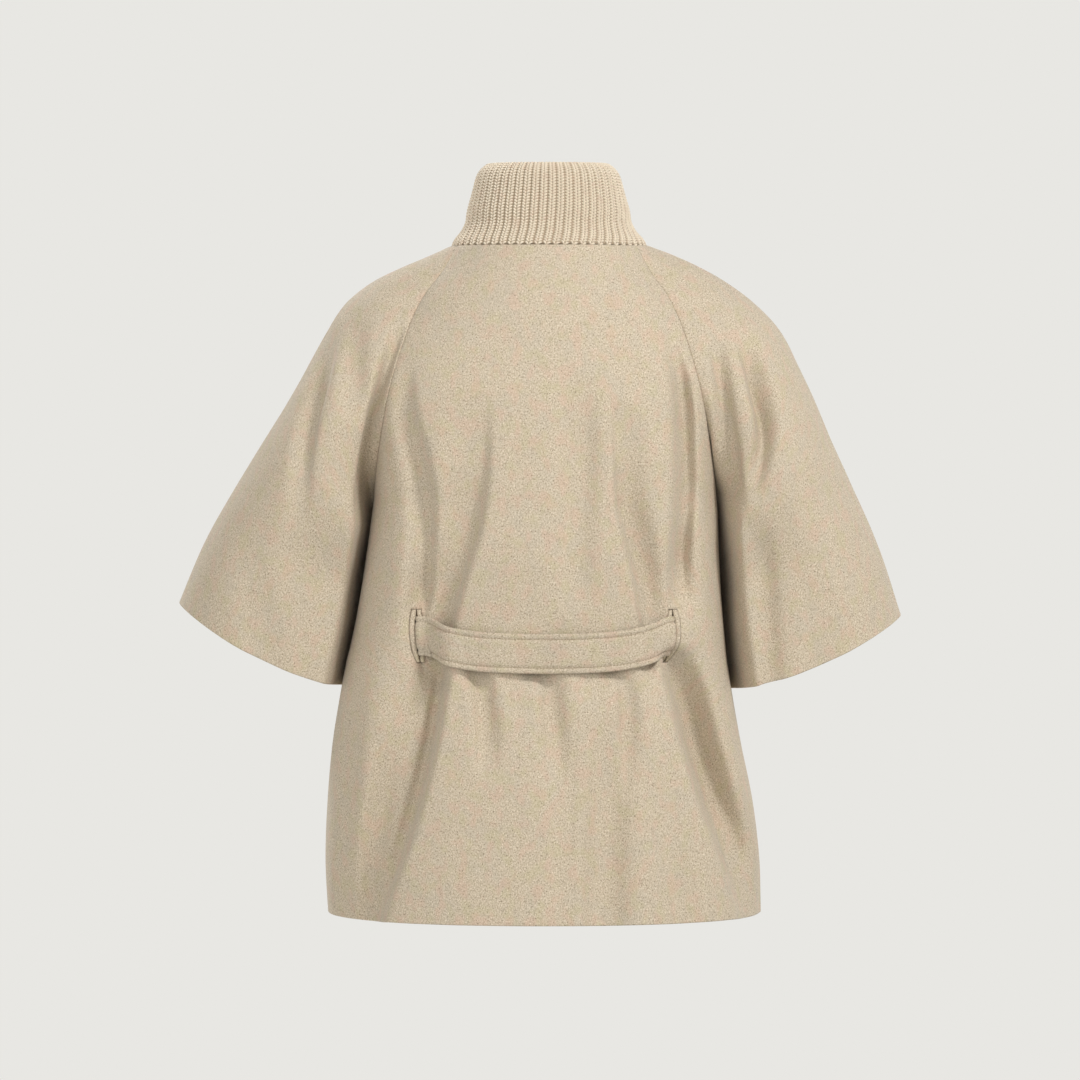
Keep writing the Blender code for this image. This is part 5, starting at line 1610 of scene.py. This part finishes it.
# %% Camera
DISTANCE = 4.0
camera = bpy.data.cameras.new("camera")
camera.lens = 133.3
camera.sensor_width = 36.0
eye = in_scene("camera", camera)
eye.location = (0.005, DISTANCE, -0.297)
eye.rotation_euler = (math.pi / 2, 0.0, math.pi)
bpy.context.scene.camera = eye
print("the picture is", round(camera.sensor_width / camera.lens * DISTANCE, 2), "m wide at the jacket")

# %% [markdown]
# ## Floor and light
# The studio is pale all round, so the light is soft, and only one lamp on the wearer's right side is
# strong enough to model the creases. An evenly lit world would leave the folds flat, so it is darker
# above and below the eye's level. Two weaker lamps do the same for the front.

# %% The pale studio
PALE = (0.807, 0.799, 0.768, 1.0)
DIMMED = 0.42               # share of the light that comes from above and below
bpy.context.scene.view_settings.view_transform = "Standard"
world = bpy.data.worlds.new("studio")
bpy.context.scene.world = world
world.use_nodes = True
sky = Tree(world.node_tree)
height = sky.node("ShaderNodeSeparateXYZ", inputs={0: sky.node("ShaderNodeTexCoord")}, output=2)
away = sky.maths("ABSOLUTE", height).between(0.34, 0.75)
light = sky.node("ShaderNodeBackground", inputs={"Color": sky.mix(away, PALE, shaded(PALE, DIMMED))})
sky.node("ShaderNodeOutputWorld", inputs={"Surface": light})
print("studio:", len(world.node_tree.nodes), "nodes")

# %% Lamps
AIM = Vector((0.0, 0.0, -0.35))
LAMPS = {                   # place in metres, watts, size
    "key": ((-2.25, 2.65, 2.5), 116.0, 0.8),
    "back_fill": ((1.3, 3.6, 0.6), 36.0, 1.4),
    "front_key": ((1.9, -3.0, 1.9), 86.0, 0.9),
    "front_fill": ((-1.9, -3.0, 0.6), 26.0, 1.4),
}
for name, (place, watts, size) in LAMPS.items():
    lamp = in_scene(name, bpy.data.lights.new(name, "AREA"))
    lamp.data.energy, lamp.data.size = watts, size
    lamp.location = place
    lamp.rotation_euler = (AIM - Vector(place)).to_track_quat("-Z", "Y").to_euler()
print("lamps:", list(LAMPS))

# %% The floor, and the sizes
FLOOR_HALF, FLOOR_Z = 1100, -1000
corners = [(x * FLOOR_HALF, y * FLOOR_HALF, FLOOR_Z) for x, y in ((-1, -1), (1, -1), (1, 1), (-1, 1))]
floor = new_piece("floor", corners, [(0, 1, 2, 3)])
_, finish = new_material("floor_paper", 0.9)
floor.data.materials.append(finish((0.57, 0.565, 0.545, 1.0)))
